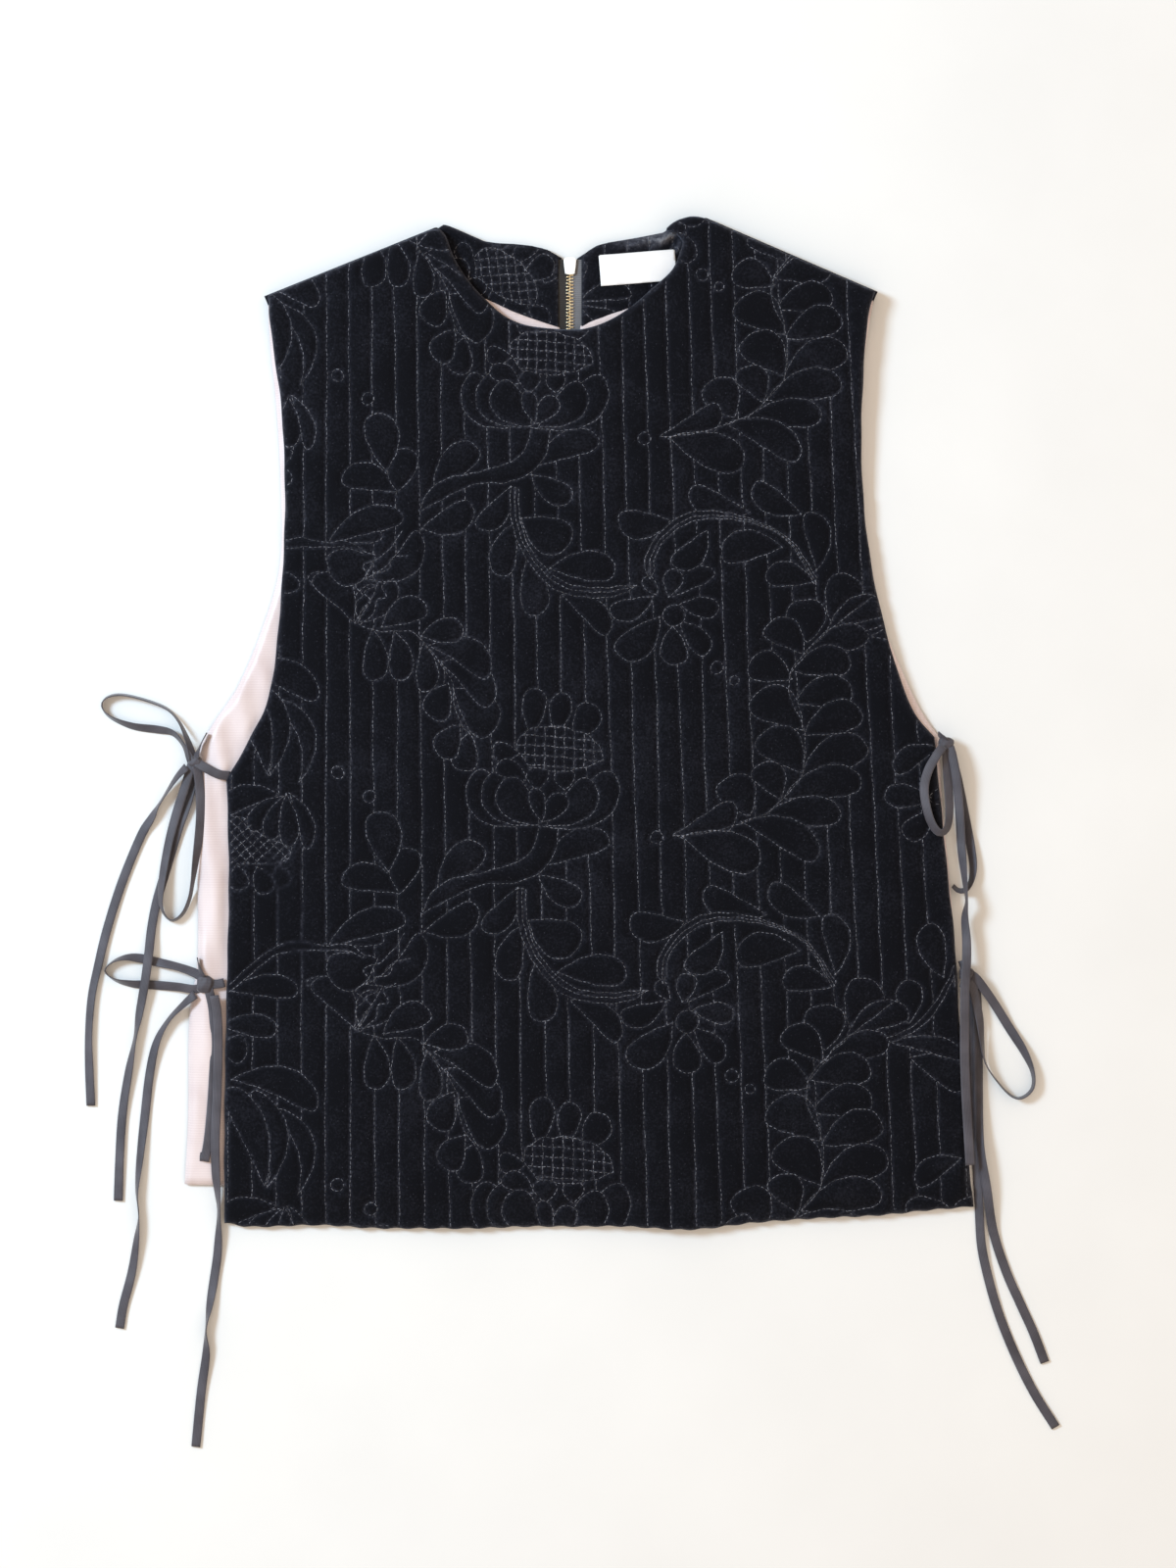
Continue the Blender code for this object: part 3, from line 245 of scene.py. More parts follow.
def tape(name, rows, step):
    """A tape along a route, crowned and soft at its edges, with a map of where each point lies on it."""
    x, y, base, roll = smooth(rows, step).T
    turn = np.radians(np.clip(roll, 0, 90))[:, None]
    half = (TIE_WIDTH * np.sin(turn[:, 0]) + 1.0 * np.cos(turn[:, 0])) / 2
    route = np.column_stack([x, y, np.maximum(base, 0) + GAP + half])
    run = np.gradient(route, axis=0)
    run /= np.linalg.norm(run, axis=1)[:, None]
    flat = np.column_stack([-run[:, 1], run[:, 0], np.zeros(len(run))])
    flat /= np.linalg.norm(flat, axis=1)[:, None]
    lifted = np.cross(run, flat)
    side = flat * np.cos(turn) + lifted * np.sin(turn)
    face = lifted * np.cos(turn) - flat * np.sin(turn)
    travelled = lengths_along(route)
    seed = sum(map(ord, name))
    curl = 0.16 * np.sin(travelled / 17 + seed) + 0.10 * np.sin(travelled / 6.3 + 2 * seed)
    section = [(u, 1) for u in (-1, -0.9, -0.6, -0.2, 0.2, 0.6, 0.9, 1)]
    section += [(-u, -v) for u, v in section]
    points, mapped = [], []
    for u, v in section:
        thick = TIE_WALL / 2 * (0.55 if abs(u) == 1 else 1.0)
        across = u * (TIE_WIDTH / 2 - 0.1)
        crown = TIE_CROWN * (1 - u * u) * np.cos(turn[:, 0])
        points.append(route + side * across + face * (v * thick + crown + curl * u)[:, None])
        mapped.append(np.column_stack([travelled, np.full(len(route), across), np.zeros(len(route))]) * MM)
    count, rings = len(section), len(route)
    points = np.stack(points, axis=1).reshape(-1, 3) * MM
    mapped = np.stack(mapped, axis=1).reshape(-1, 3)
    faces = [(ring * count + i, ring * count + (i + 1) % count, (ring + 1) * count + (i + 1) % count,
              (ring + 1) * count + i) for ring in range(rings - 1) for i in range(count)]
    faces += [tuple(range(count))[::-1], tuple((rings - 1) * count + i for i in range(count))]
    piece = link_mesh(name, points, faces, TIE_TAPE)
    set_map(piece, mapped)
    return piece, [tuple(point) for point in route * MM], travelled[-1] * MM


def knot(name, x, y, z, width, length, height):
    """The knot of a bow: a turn of the tape pulled tight round the leads, puckered by the pull."""
    shape = bmesh.new()
    bmesh.ops.create_uvsphere(shape, u_segments=28, v_segments=18, radius=1)
    for vert in shape.verts:
        u, v, w = vert.co
        around = math.atan2(w, u)
        pull = 1 + 0.07 * math.sin(5 * v + 1.5 * around) + 0.05 * math.sin(9 * around + 4 * v)
        square = [math.copysign(abs(value)**0.72, value) for value in (u, v, w)]
        vert.co = Vector((x + square[0] * pull * width * 0.5, y + square[1] * length * 0.47,
                          max(z + square[2] * pull * height * 0.5, z - height / 2))) * MM
    mesh = bpy.data.meshes.new(name)
    shape.to_mesh(mesh)
    shape.free()
    piece = finished(name, mesh, TIE_TAPE)
    set_map(piece, np.array([vert.co[:] for vert in mesh.vertices]))
    return piece


# Routes in millimetres. Every row is x, y, base, roll: base is the height of what the tape lies on there, and
# roll turns it from flat (0) to standing on its edge (90). A knot is its centre and its size.
BOWS = {
    "left_upper": {
        "knot": (-242, -25, 8, 8, 8, 4.4),
        "lead": [
            [(-220, -34.2, 6.2, 0), (-223, -33.8, 7.4, 0), (-226, -33.4, 8.3, 0), (-230, -31.8, 8.6, 0),
             (-235.5, -28.8, 8.4, 10), (-241, -25.5, 7.6, 15)],
            [(-234.6, -7, 4.2, 90), (-237.8, -13, 4.8, 88), (-240, -18.6, 5.6, 72),
             (-241.8, -23, 6.6, 35)],
        ],
        "loop": [
            [(-243, -24, 6.4, 30), (-246.5, -12, 4.5, 60), (-253, 1, 1.2, 82), (-262, 9.3, 0, 84),
             (-278.8, 15.3, 0, 80), (-291, 17.2, 0, 76), (-299, 14.9, 0, 80), (-301.3, 9.6, 0, 86),
             (-296, 3, 0, 70), (-282, -2.6, 0, 42), (-266, -4.8, 0, 36), (-256.5, -7, 0.4, 55),
             (-249.5, -14.5, 3.2, 65), (-244.5, -24.5, 6.2, 30)],
            [(-244, -26.5, 7, 15), (-248.2, -40, 4.6, 15), (-253.6, -56, 2.2, 15), (-258.5, -74, 1.7, 20),
             (-262, -92, 1.7, 30), (-263.9, -108, 2.7, 45), (-263, -119, 1.6, 68), (-257.5, -125.6, 0, 80),
             (-250.5, -121.5, 0, 78), (-246, -112, 0.4, 76), (-243.6, -101, 3.4, 74),
             (-241.6, -88, 5.4, 56), (-239.8, -74, 5.4, 28), (-238.6, -58, 5.4, 12), (-239, -42, 5.8, 10),
             (-240.8, -27, 6.8, 15)],
        ],
        "tail": [
            [(-247.2, -28.4, 6.5, 35), (-254, -35.5, 3.9, 58), (-264.5, -51, 0, 72), (-270, -60.5, 0, 35),
             (-277, -72.4, 0, 10), (-288.1, -99.4, 0, 10), (-297.4, -128, 0, 14), (-304, -154.5, 0, 18),
             (-308, -174, 0, 26), (-309.8, -198, 0, 32), (-309.4, -220, 0, 24), (-308.5, -242.6, 0, 8)],
            [(-242.2, -30.4, 3.1, 20), (-244, -40, 1.1, 25), (-247.6, -53, 0, 25), (-252.6, -66, 0, 15),
             (-257.2, -81, 0, 8), (-262.4, -98, 0, 6), (-267, -114, 0, 8), (-270, -130, 0.8, 12),
             (-271.6, -146.7, 3.6, 6), (-274, -165, 3.9, 8), (-277.6, -184, 1, 30), (-280.4, -200, 0, 66),
             (-284.6, -222, 0, 34), (-288.3, -246, 0, 14), (-290.2, -272, 0, 12), (-291.2, -302.7, 0, 8)],
        ],
    },
    "left_lower": {
        "knot": (-235.8, -165.4, 8.4, 10, 12, 5.2),
        "lead": [
            [(-240.4, -148.6, 5.3, 82), (-239.4, -154, 5.8, 74), (-237, -161, 6.8, 40)],
            [(-223.4, -164.4, 6.2, 10), (-227.5, -165.3, 6.6, 10), (-234, -165.6, 7.4, 10)],
        ],
        "loop": [
            [(-237.5, -161, 6.8, 15), (-243, -158, 5.2, 25), (-253.4, -154.6, 1.6, 35),
             (-267.6, -151.6, 0, 14), (-276, -149.6, 0, 14), (-286, -148.8, 0, 52), (-294.6, -151.6, 0, 78),
             (-299.4, -157.2, 0, 86), (-293.5, -162.8, 0, 76), (-283, -165.4, 0, 46), (-275, -166, 0, 24),
             (-267, -166.4, 0, 14), (-253.4, -167.4, 1.6, 22), (-243, -168.6, 5.2, 20),
             (-237.5, -167.5, 6.8, 15)],
            [(-234.2, -167, 6.2, 0), (-232, -182, 5.4, 0), (-232.6, -205, 5.3, 0), (-233.8, -235, 5.3, 0),
             (-235.8, -262, 5.3, 0), (-236.4, -277.2, 5.3, 0)],
            [(-233.4, -168, 8.2, 0), (-230.6, -182, 7.2, 0), (-229.6, -205, 6.9, 0), (-231, -235, 6.9, 0),
             (-233.4, -262, 6.9, 0), (-236, -277.2, 6.9, 0)],
        ],
        "tail": [
            [(-241.8, -172, 6.7, 15), (-248.5, -177.5, 4.7, 45), (-258.9, -188, 0, 60),
             (-266.8, -202.3, 0, 42), (-271.3, -222.7, 0, 16), (-274.4, -249.4, 0, 10),
             (-277.3, -275, 0, 34), (-279.2, -297, 0, 72), (-278, -312, 0, 86), (-279.6, -328, 0, 52),
             (-282.6, -348, 0, 16), (-288, -369, 0, 6), (-290.4, -383.3, 0, 4)],
            [(-229.6, -172.4, 9.6, 5), (-227.8, -184, 8.8, 4), (-227.3, -202.3, 8.4, 2),
             (-227.9, -233.3, 8.3, 2), (-229, -262, 8.6, 4), (-228.8, -284, 6.6, 20),
             (-227.9, -298, 3.6, 50), (-227.4, -312, 0, 70), (-228.2, -334, 0, 22), (-230.6, -352, 0, 12),
             (-233.4, -369, 0, 40), (-235.6, -384, 0, 78), (-235.6, -400, 0, 34), (-238.8, -424, 0, 10),
             (-242.2, -458.3, 0, 4)],
        ],
    },
    "right_upper": {
        "knot": (231.4, -13.6, 8.6, 9.6, 8.4, 5.2),
        "lead": [
            [(226.6, -7.4, 5.3, 78), (228.6, -9.6, 6.4, 66), (231, -12.5, 7.2, 35)],
        ],
        "loop": [
            [(229.5, -15.5, 8.8, 20), (225.6, -20.5, 10.6, 24), (220, -30.5, 10.6, 22),
             (217.4, -41.5, 10.6, 22), (218.8, -54, 10.6, 26), (222.6, -65, 10.4, 34),
             (227.6, -70, 10.3, 40), (232.2, -66, 8.6, 34), (233.6, -54, 6.8, 20), (232.6, -36, 6.4, 16),
             (232, -24, 6.8, 16), (231.6, -16, 7.6, 15)],
            [(233, -16, 6.2, 15), (237.6, -30, 3.6, 12), (241, -44, 1.2, 10), (244.6, -62, 0, 12),
             (248, -80, 0, 26), (249.3, -92, 0, 46), (247.6, -101.4, 0, 66), (243.6, -106.4, 0, 62),
             (239.2, -106.2, 0, 62), (236.3, -103.4, 0, 66)],
        ],
        "tail": [
            [(233.6, -15.8, 8.6, 12), (235.4, -22, 8.8, 15), (237.6, -34, 8.5, 20), (240, -56, 5.8, 22),
             (241.6, -80, 3.6, 34), (243.4, -100, 4.4, 62), (244.2, -113, 7.5, 84), (243.4, -124, 5.4, 46),
             (244.4, -138, 7.2, 18), (244.2, -152, 8.8, 8), (243.2, -168, 9.6, 4), (242.9, -190, 10.4, 2),
             (242.9, -212, 10.8, 2), (243.8, -236, 10.7, 2), (245.2, -260, 10.6, 2),
             (246.4, -279.2, 10.5, 2)],
        ],
    },
    "right_lower": {
        "knot": (244.6, -159, 4.6, 9.2, 9, 7.2),
        "lead": [
            [(241.8, -150.4, 4.6, 25), (243, -153.5, 4.4, 25), (244.6, -157.5, 4.2, 15)],
            [(242.6, -168, 3.6, 25), (243.4, -165, 3.6, 25), (244.6, -161, 3.6, 15)],
        ],
        "loop": [
            [(246, -158.4, 4.2, 15), (251.3, -162.6, 5.5, 12), (261.2, -176.2, 3.1, 8),
             (272.2, -193.4, 0, 16), (281.4, -208.4, 0, 46), (286.8, -221.6, 0, 72), (286.5, -231.6, 0, 80),
             (280, -237.4, 0, 82), (273, -236, 0, 80), (264.6, -227.4, 0, 78), (257, -216, 1.8, 80),
             (254.6, -203, 2.6, 62), (252.6, -186, 4.4, 30), (247.4, -162, 4.7, 15)],
        ],
        "tail": [
            [(246.4, -164.2, 1.4, 10), (248.6, -176, 0.2, 8), (249.6, -200, 0, 4), (250, -233, 0, 4),
             (250.6, -262, 0, 10), (252, -286, 0, 14), (253, -306, 0, 26), (254.6, -331, 0, 14),
             (259.8, -355, 0, 6), (266.4, -376.5, 0, 4), (276.2, -400.7, 0, 4), (287.9, -424.2, 0, 4),
             (301.5, -445.9, 0, 4)],
            [(250.8, -168, 2.7, 8), (251.6, -178, 2.4, 6), (252.2, -200, 1.8, 4), (252.4, -233, 1.8, 10),
             (252.8, -256, 2.2, 36), (254, -272, 3.6, 44), (257.4, -293.4, 3.4, 26),
             (261.8, -321.3, 0.6, 6), (270.2, -347.4, 0, 4), (279.8, -369.1, 0, 4), (287.6, -386.4, 0, 4),
             (294.7, -405, 0, 4)],
        ],
    },
}

for place, bow in BOWS.items():
    worn(knot("tie_knot_" + place, *bow["knot"]), "bow_" + place)
    for kind, step, node, far_end in (("lead", 1.5, "bow_{0}", None), ("loop", 2.0, "bow_{0}", "object"),
                                      ("tail", 2.0, "tie_{0}_tail_{1}", "bare")):
        for number, rows in enumerate(bow[kind], 1):
            piece, route, length = tape(f"tie_{kind}_{place}_{number}", rows, step)
            worn(piece, node.format(place, number))

# ==== The back ====
# Quilted black velvet in two halves, joined down the centre by the zip. The top of each half folds forwards
# over the shoulder to its seam with the front, and the halves lie flat on the board.

ZIP_X, ZIP_TOP, ZIP_END = -5.6, 293.0, 98.0
BACK_WALL, BACK_STEP, SATIN_TURN, EDGE_SINKS, EDGE_REACH = 3.9, 3.0, 1.6, 1.1, 1.6
FOLD_RADIUS, FOLD_MEAN_RADIUS, FOLD_TURN, FOLD_WALL_AT_SEAM = 6.75, 5.0, math.radians(160), 2.6
SEAM_TURN = math.radians(85)

# Half widths down the centre: of the seam under the zip, of the opening over its chain and at its top, and of
# the shallow recess that its tapes lie in.
SEAM_HALF, OPENING_HALF, OPENING_TOP_HALF, RECESS_HALF = 0.15, 2.8, 4.5, 12.5
OPENING_WIDENS, OPENING_TOP, RECESS_START, RECESS_DEPTH = 279, 281, 89, 1.3

LEFT_TIP, LEFT_NECK = np.array((-196.9, 270.2)), np.array((-86.0, 314.8))
RIGHT_NECK, RIGHT_TIP = np.array((75.9, 321.0)), np.array((188.1, 272.6))

# Edges of the back. It is wider than the front at the left and under the arms.
BACK_LEFT_NECK = [(-83.5, 308.5), (-71.7, 306.5), (-56.2, 303), (-37.6, 301.8), (-22.1, 299.3), (-10.1, 293)]
BACK_RIGHT_NECK = [(-1.1, 293), (6, 297.5), (13.2, 301.8), (30.6, 304.9), (52.3, 309), (73.2, 314.8)]
BACK_LEFT_ARMHOLE = [(-196.3, 263.1), (-195.5, 240), (-191.5, 200), (-188.6, 150), (-189, 100), (-200, 60),
                     (-215.5, 22.8), (-230.1, 1.1), (-240.3, -16.3)]
BACK_LEFT_SIDE = [(-240.3, -16.3), (-241.6, -75), (-241.2, -148), (-246.5, -185), (-247.2, -249),
                  (-249.5, -292.8)]
BACK_HEM = [(-249.5, -292.8), (-120, -294.2), (ZIP_X, -294.5), (110, -295), (236.4, -294.7)]
BACK_RIGHT_SIDE = [(236.4, -294.7), (237.5, -200), (237.2, -140), (234, -92), (230.5, -60), (227.8, -9)]
BACK_RIGHT_ARMHOLE = [(227.8, -9), (216.5, 7), (205.2, 31), (194.2, 57), (187.6, 79.8), (180, 124),
                      (177.6, 180), (178.6, 215), (183.5, 250), (186.3, 266)]

# Lower edge of the neck facing, where the lining is sewn to it.
FACING_LEFT_ARC = [(-124, 288), (-100, 280.5), (-78, 273.8), (-59.3, 267.1), (-45, 260.2), (-30.8, 254.7),
                   (-13.2, 248.4)]
FACING_RIGHT_ARC = [(2.0, 249.4), (15.1, 255.3), (31.8, 260.9), (52, 267.5), (78, 277), (112, 290)]


def outline(*edges, spacing=11.0):
    """One closed anticlockwise loop from edges that follow on from each other. An array is kept as it is."""
    points = np.vstack([(edge if isinstance(edge, np.ndarray) else smooth(edge, spacing))[:-1]
                        for edge in edges])
    following = np.roll(points, -1, axis=0)
    area = np.sum(points[:, 0] * following[:, 1] - following[:, 0] * points[:, 1])
    return points if area > 0 else points[::-1]


def straight(points):
    """Edges that join the points by straight lines."""
    return [[a, b] for a, b in zip(points, points[1:])]


def moved_in(loop, distance):
    """The loop moved inwards by a distance, mitred at its corners."""
    before, after = np.roll(loop, 1, axis=0), np.roll(loop, -1, axis=0)
    into, out = loop - before, after - loop
    into /= np.linalg.norm(into, axis=1)[:, None]
    out /= np.linalg.norm(out, axis=1)[:, None]
    normal = np.column_stack([-(into + out)[:, 1], (into + out)[:, 0]])
    normal /= np.linalg.norm(normal, axis=1)[:, None]
    mitre = np.clip(np.sum(normal * np.column_stack([-into[:, 1], into[:, 0]]), axis=1), 0.6, 1)
    return loop + normal * (distance / mitre)[:, None]


def inside(points, loop):
    """Which of the points the loop holds."""
    x, y = points[:, 0:1], points[:, 1:2]
    x0, y0 = loop[:, 0], loop[:, 1]
    x1, y1 = np.roll(x0, -1), np.roll(y0, -1)
    crosses = (y0 > y) != (y1 > y)
    with np.errstate(divide="ignore", invalid="ignore"):
        left = x < (x1 - x0) * (y - y0) / (y1 - y0) + x0
    return np.count_nonzero(crosses & left, axis=1) % 2 == 1


def nearest_on(points, loop):
    """Distance from each point to the loop, and the place on the loop."""
    start, run = loop, np.roll(loop, -1, axis=0) - loop
    size = np.maximum(np.sum(run * run, axis=1), 1e-9)
    reach, place = np.empty(len(points)), np.empty((len(points), 2))
    for first in range(0, len(points), 4000):
        part = points[first:first + 4000]
        offset = part[:, None, :] - start[None]
        share = np.clip(np.sum(offset * run, axis=2) / size, 0, 1)
        foot = start[None] + share[..., None] * run
        gap = np.linalg.norm(part[:, None, :] - foot, axis=2)
        best = gap.argmin(axis=1)
        rows = np.arange(len(part))
        reach[first:first + 4000], place[first:first + 4000] = gap[rows, best], foot[rows, best]
    return reach, place


def eased(share):
    """A share held between 0 and 1 and softened at both ends."""
    share = np.clip(share, 0, 1)
    return share * share * (3 - 2 * share)


class Shoulder:
    """A shoulder's fold: the straight line along the top of the shoulder and the direction out over it."""

    def __init__(self, inner, outer):
        run = (outer - inner) / np.linalg.norm(outer - inner)
        normal = np.array((-run[1], run[0]))
        self.normal = normal if normal[1] > 0 else -normal
        self.point, self.run = inner, run

    def past(self, points):
        """How far each point lies past the fold line, negative on the body of the garment."""
        return (points - self.point) @ self.normal

    def along(self, points):
        """How far each point lies from the neck towards the tip of the shoulder."""
        return (points - self.point) @ self.run


SHOULDERS = (Shoulder(LEFT_NECK, LEFT_TIP), Shoulder(RIGHT_NECK, RIGHT_TIP))


def cut(loop, step):
    """A piece of cloth cut to the loop: an even grid of points with its rim moved on to the loop, and its
    faces."""
    low, high = loop.min(axis=0) - step, loop.max(axis=0) + step
    xs, ys = (np.arange(low[axis], high[axis] + step, step) for axis in (0, 1))
    grid = np.stack(np.meshgrid(xs, ys), axis=-1).reshape(-1, 2)
    held = inside(grid, loop)
    rows, columns = len(ys), len(xs)
    shaped = held.reshape(rows, columns)
    spread = np.zeros_like(shaped)
    for up in (-1, 0, 1):
        for over in (-1, 0, 1):
            spread |= np.roll(np.roll(shaped, up, axis=0), over, axis=1)
    spots = np.flatnonzero(spread.ravel())
    reach, place = nearest_on(grid[spots], loop)
    rim = ~held[spots] | (reach < 0.35 * step)
    core = np.zeros(len(grid), bool)
    core[spots[~rim]] = True
    grid[spots[rim]] = place[rim]
    index = np.arange(rows * columns).reshape(rows, columns)
    quads = np.stack([index[:-1, :-1], index[:-1, 1:], index[1:, 1:], index[1:, :-1]], axis=-1).reshape(-1, 4)
    quads = quads[core[quads].any(axis=1)]
    used, faces = np.unique(quads, return_inverse=True)
    return grid[used], faces.reshape(-1, 4)


def rim_edges(faces):
    """The edges that only one face has, each running the way its face does."""
    edges = np.vstack([faces[:, [i, (i + 1) % 4]] for i in range(4)])
    _, first, count = np.unique(np.sort(edges, axis=1), axis=0, return_index=True, return_counts=True)
    return edges[first[count == 1]]


def shell(name, faces, upper, lower, material):
    """A closed cloth wall from the places of the same points on its two sides."""
    count = len(upper)
    edges = rim_edges(faces)
    walls = np.column_stack([edges[:, 1], edges[:, 0], edges[:, 0] + count, edges[:, 1] + count])
    return link_mesh(name, np.vstack([upper, lower]) * MM,
                     np.vstack([faces, faces[:, ::-1] + count, walls]), material)


def set_values(piece, name, values):
    """Keeps a number for each point of a piece, for its material to read."""
    piece.data.attributes.new(name, "FLOAT", "POINT").data.foreach_set("value", np.asarray(values, float))


# Velvet pile: a height of short crowded hairs, and a mask of where the pile looks paler: random patches and
# dust, and along the stitching and round the edges pile pressed flat together with painted sheen and
# highlight where the light catches the slopes.
PILE, nodes, link, start, end = new_group(
    "velvet_pile", "ShaderNodeTree", [("Seam", "Float"), ("Rim", "Float")],
    [("Height", "Float"), ("Pressed", "Float")])
maths = calculator(nodes, link)
place = nodes.new("ShaderNodeTexCoord")
parts = []
for scale, detail, roughness in ((2600, 2, 0.5), (760, 1, 0.5), (420, 3, 0.5), (34, 5, 0.6)):
    noise = set_inputs(nodes.new("ShaderNodeTexNoise"), Scale=scale, Detail=detail, Roughness=roughness)
    link(place.outputs["Object"], noise.inputs["Vector"])
    parts.append(noise.outputs["Fac"])
hairs, grain, tufts, brushed_pile_and_sheen = parts
link(maths("ADD", maths("MULTIPLY", hairs, 0.5), tufts), end.inputs["Height"])
mottled = maths("ADD", maths("MULTIPLY", maths("SUBTRACT", tufts, 0.5), 0.5),
                maths("MULTIPLY", maths("SUBTRACT", grain, 0.5), 0.9))
patches = maths("ADD", maths("MULTIPLY", maths("SUBTRACT", brushed_pile_and_sheen, 0.46), 0.9), mottled)
# Paler along the stitching and round the edges: partly pile pressed flat there, partly painted sheen and
# painted highlight on the slopes of the quilting and the rolled edges.
seam_pile_and_sheen = maths("MULTIPLY", start.outputs["Seam"], tufts)
rim_pile_and_highlight = maths("MULTIPLY", start.outputs["Rim"], maths("MULTIPLY", tufts, 0.9))
dust = set_inputs(nodes.new("ShaderNodeTexVoronoi"), Scale=300)
link(place.outputs["Object"], dust.inputs["Vector"])
lint = maths("MULTIPLY", maths("LESS_THAN", dust.outputs["Distance"], 0.08), 0.75)
marks = maths("ADD", maths("ADD", seam_pile_and_sheen, rim_pile_and_highlight), lint)
link(maths("MULTIPLY", maths("ADD", maths("MAXIMUM", patches, 0.0), marks), 0.5), end.inputs["Pressed"])

VELVET, nodes, link, shader = new_material(
    "black_velvet", Roughness=0.92, Specular_IOR_Level=0.12, Sheen_Weight=0.14, Sheen_Roughness=0.35,
    Sheen_Tint=(0.62, 0.66, 0.85, 1))
pile = nodes.new("ShaderNodeGroup")
pile.node_tree = PILE
for socket, name in (("Seam", "seam"), ("Rim", "rim")):
    value = nodes.new("ShaderNodeAttribute")
    value.attribute_name = name
    link(value.outputs["Fac"], pile.inputs[socket])
# Tones of the velvet from its dark pile up to pale grey; the pale end carries the painted sheen and painted
# highlight of the mask as well as the pressed pile and dust.
tones = ramp(nodes, (0.0, (0.0028, 0.0031, 0.0054)), (0.175, (0.0092, 0.0098, 0.0150)),
             (0.5, (0.045, 0.047, 0.062)), (1.0, (0.17, 0.175, 0.20)))
bump = set_inputs(nodes.new("ShaderNodeBump"), Strength=0.55, Distance=0.0005)
wire(link, (pile, "Pressed", tones, "Fac"), (tones, "Color", shader, "Base Color"),
     (pile, "Height", bump, "Height"), (bump, "Normal", shader, "Normal"))


def half_of_back(side):
    """The edges of one half, each going on from the last: neck from the shoulder to the zip, hem from the
    centre outwards, side and armhole upwards. side is -1 at the left and 1 at the right."""
    if side < 0:
        return (BACK_LEFT_NECK, [(ZIP_X, BACK_HEM[2][1])] + BACK_HEM[1::-1], BACK_LEFT_SIDE[::-1],
                BACK_LEFT_ARMHOLE[::-1], FACING_LEFT_ARC, SHOULDERS[0])
    return (BACK_RIGHT_NECK[::-1], [(ZIP_X, BACK_HEM[2][1])] + BACK_HEM[3:], BACK_RIGHT_SIDE,
            BACK_RIGHT_ARMHOLE, FACING_RIGHT_ARC[::-1], SHOULDERS[1])


def folded(points, shoulder, outer, wall):
    """Places on the back: flat, and past the fold's start round the fold; outer is its underside."""
    start = shoulder.past(points) + FOLD_RADIUS
    angle = np.clip(start, 0, None) / FOLD_MEAN_RADIUS
    thickness = wall + (FOLD_WALL_AT_SEAM - wall) * np.clip(angle / FOLD_TURN, 0, 1)
    radius = FOLD_RADIUS - (0 if outer else thickness)
    flat = points - np.clip(start, 0, None)[:, None] * shoulder.normal
    return np.column_stack([flat + (radius * np.sin(angle))[:, None] * shoulder.normal,
                            FOLD_RADIUS - radius * np.cos(angle)])


def at_the_sides(points):
    """1 along the sides and armholes, where the lining turns over the velvet's edge; 0 at centre and
    shoulders."""
    return eased((np.abs(points[:, 0] - ZIP_X) - 40) / 60) * eased((258 - points[:, 1]) / 15)


for word, side in (("left", -1), ("right", 1)):
    neck, hem, edge, armhole, _, shoulder = half_of_back(side)
    centre = [neck[-1], (ZIP_X + side * OPENING_TOP_HALF, OPENING_TOP),
              (ZIP_X + side * OPENING_HALF, OPENING_WIDENS), (ZIP_X + side * OPENING_HALF, ZIP_END),
              (ZIP_X + side * SEAM_HALF, ZIP_END - 3), (ZIP_X + side * SEAM_HALF, hem[0][1])]
    turned = shoulder.normal * FOLD_MEAN_RADIUS * SEAM_TURN
    seam = [armhole[-1], armhole[-1] + turned, neck[0] + turned + 5 * shoulder.run, neck[0]]
    half = outline(neck, *straight(centre), [centre[-1]] + hem[1:], edge, armhole, *straight(seam))
    half = moved_in(half, SATIN_TURN * at_the_sides(half))
    points, faces = cut(half, BACK_STEP)
    reach, _ = nearest_on(points, half)
    recess = eased((ZIP_X * side + RECESS_HALF - points[:, 0] * side) / 1.5)
    recess = recess * eased((points[:, 1] - RECESS_START) / 3)
    inner = folded(points, shoulder, False, BACK_WALL - RECESS_DEPTH * recess)
    outer = folded(points, shoulder, True, BACK_WALL)
    soft = EDGE_SINKS * np.exp(-(reach / EDGE_REACH)**2)
    lift = folded(points, shoulder, False, BACK_WALL) - outer
    lift /= np.linalg.norm(lift, axis=1)[:, None]
    back = shell("back_" + word, faces, inner - lift * soft[:, None], outer + lift * 0.8 * soft[:, None],
                 VELVET)
    # Paler round the edges: pressed pile and painted highlight on the rolled edge.
    set_values(back, "rim", np.tile(np.exp(-(reach / 2.5)**2), 2))
    set_values(back, "seam", np.zeros(2 * len(points)))
    worn(back, "back_panel_" + word)

# ==== The lining of the back ====
# Pale pink satin over the inside of each half, sewn to the facing at the top and along the sides. It shows
# beyond the front at the left, where it lies in soft folds, and as a thin line along the armholes.

LINING_BOTTOM, LINING_WALL, LINING_STEP, LINING_TO_ZIP, LINING_LAP = 4.2, 1.0, 2.5, 6.1, 1.05
TOP_TURNS_DOWN, UNDERSIDE_TURNS_DOWN, TURN_REACH = 3.2, 2.8, 1.2

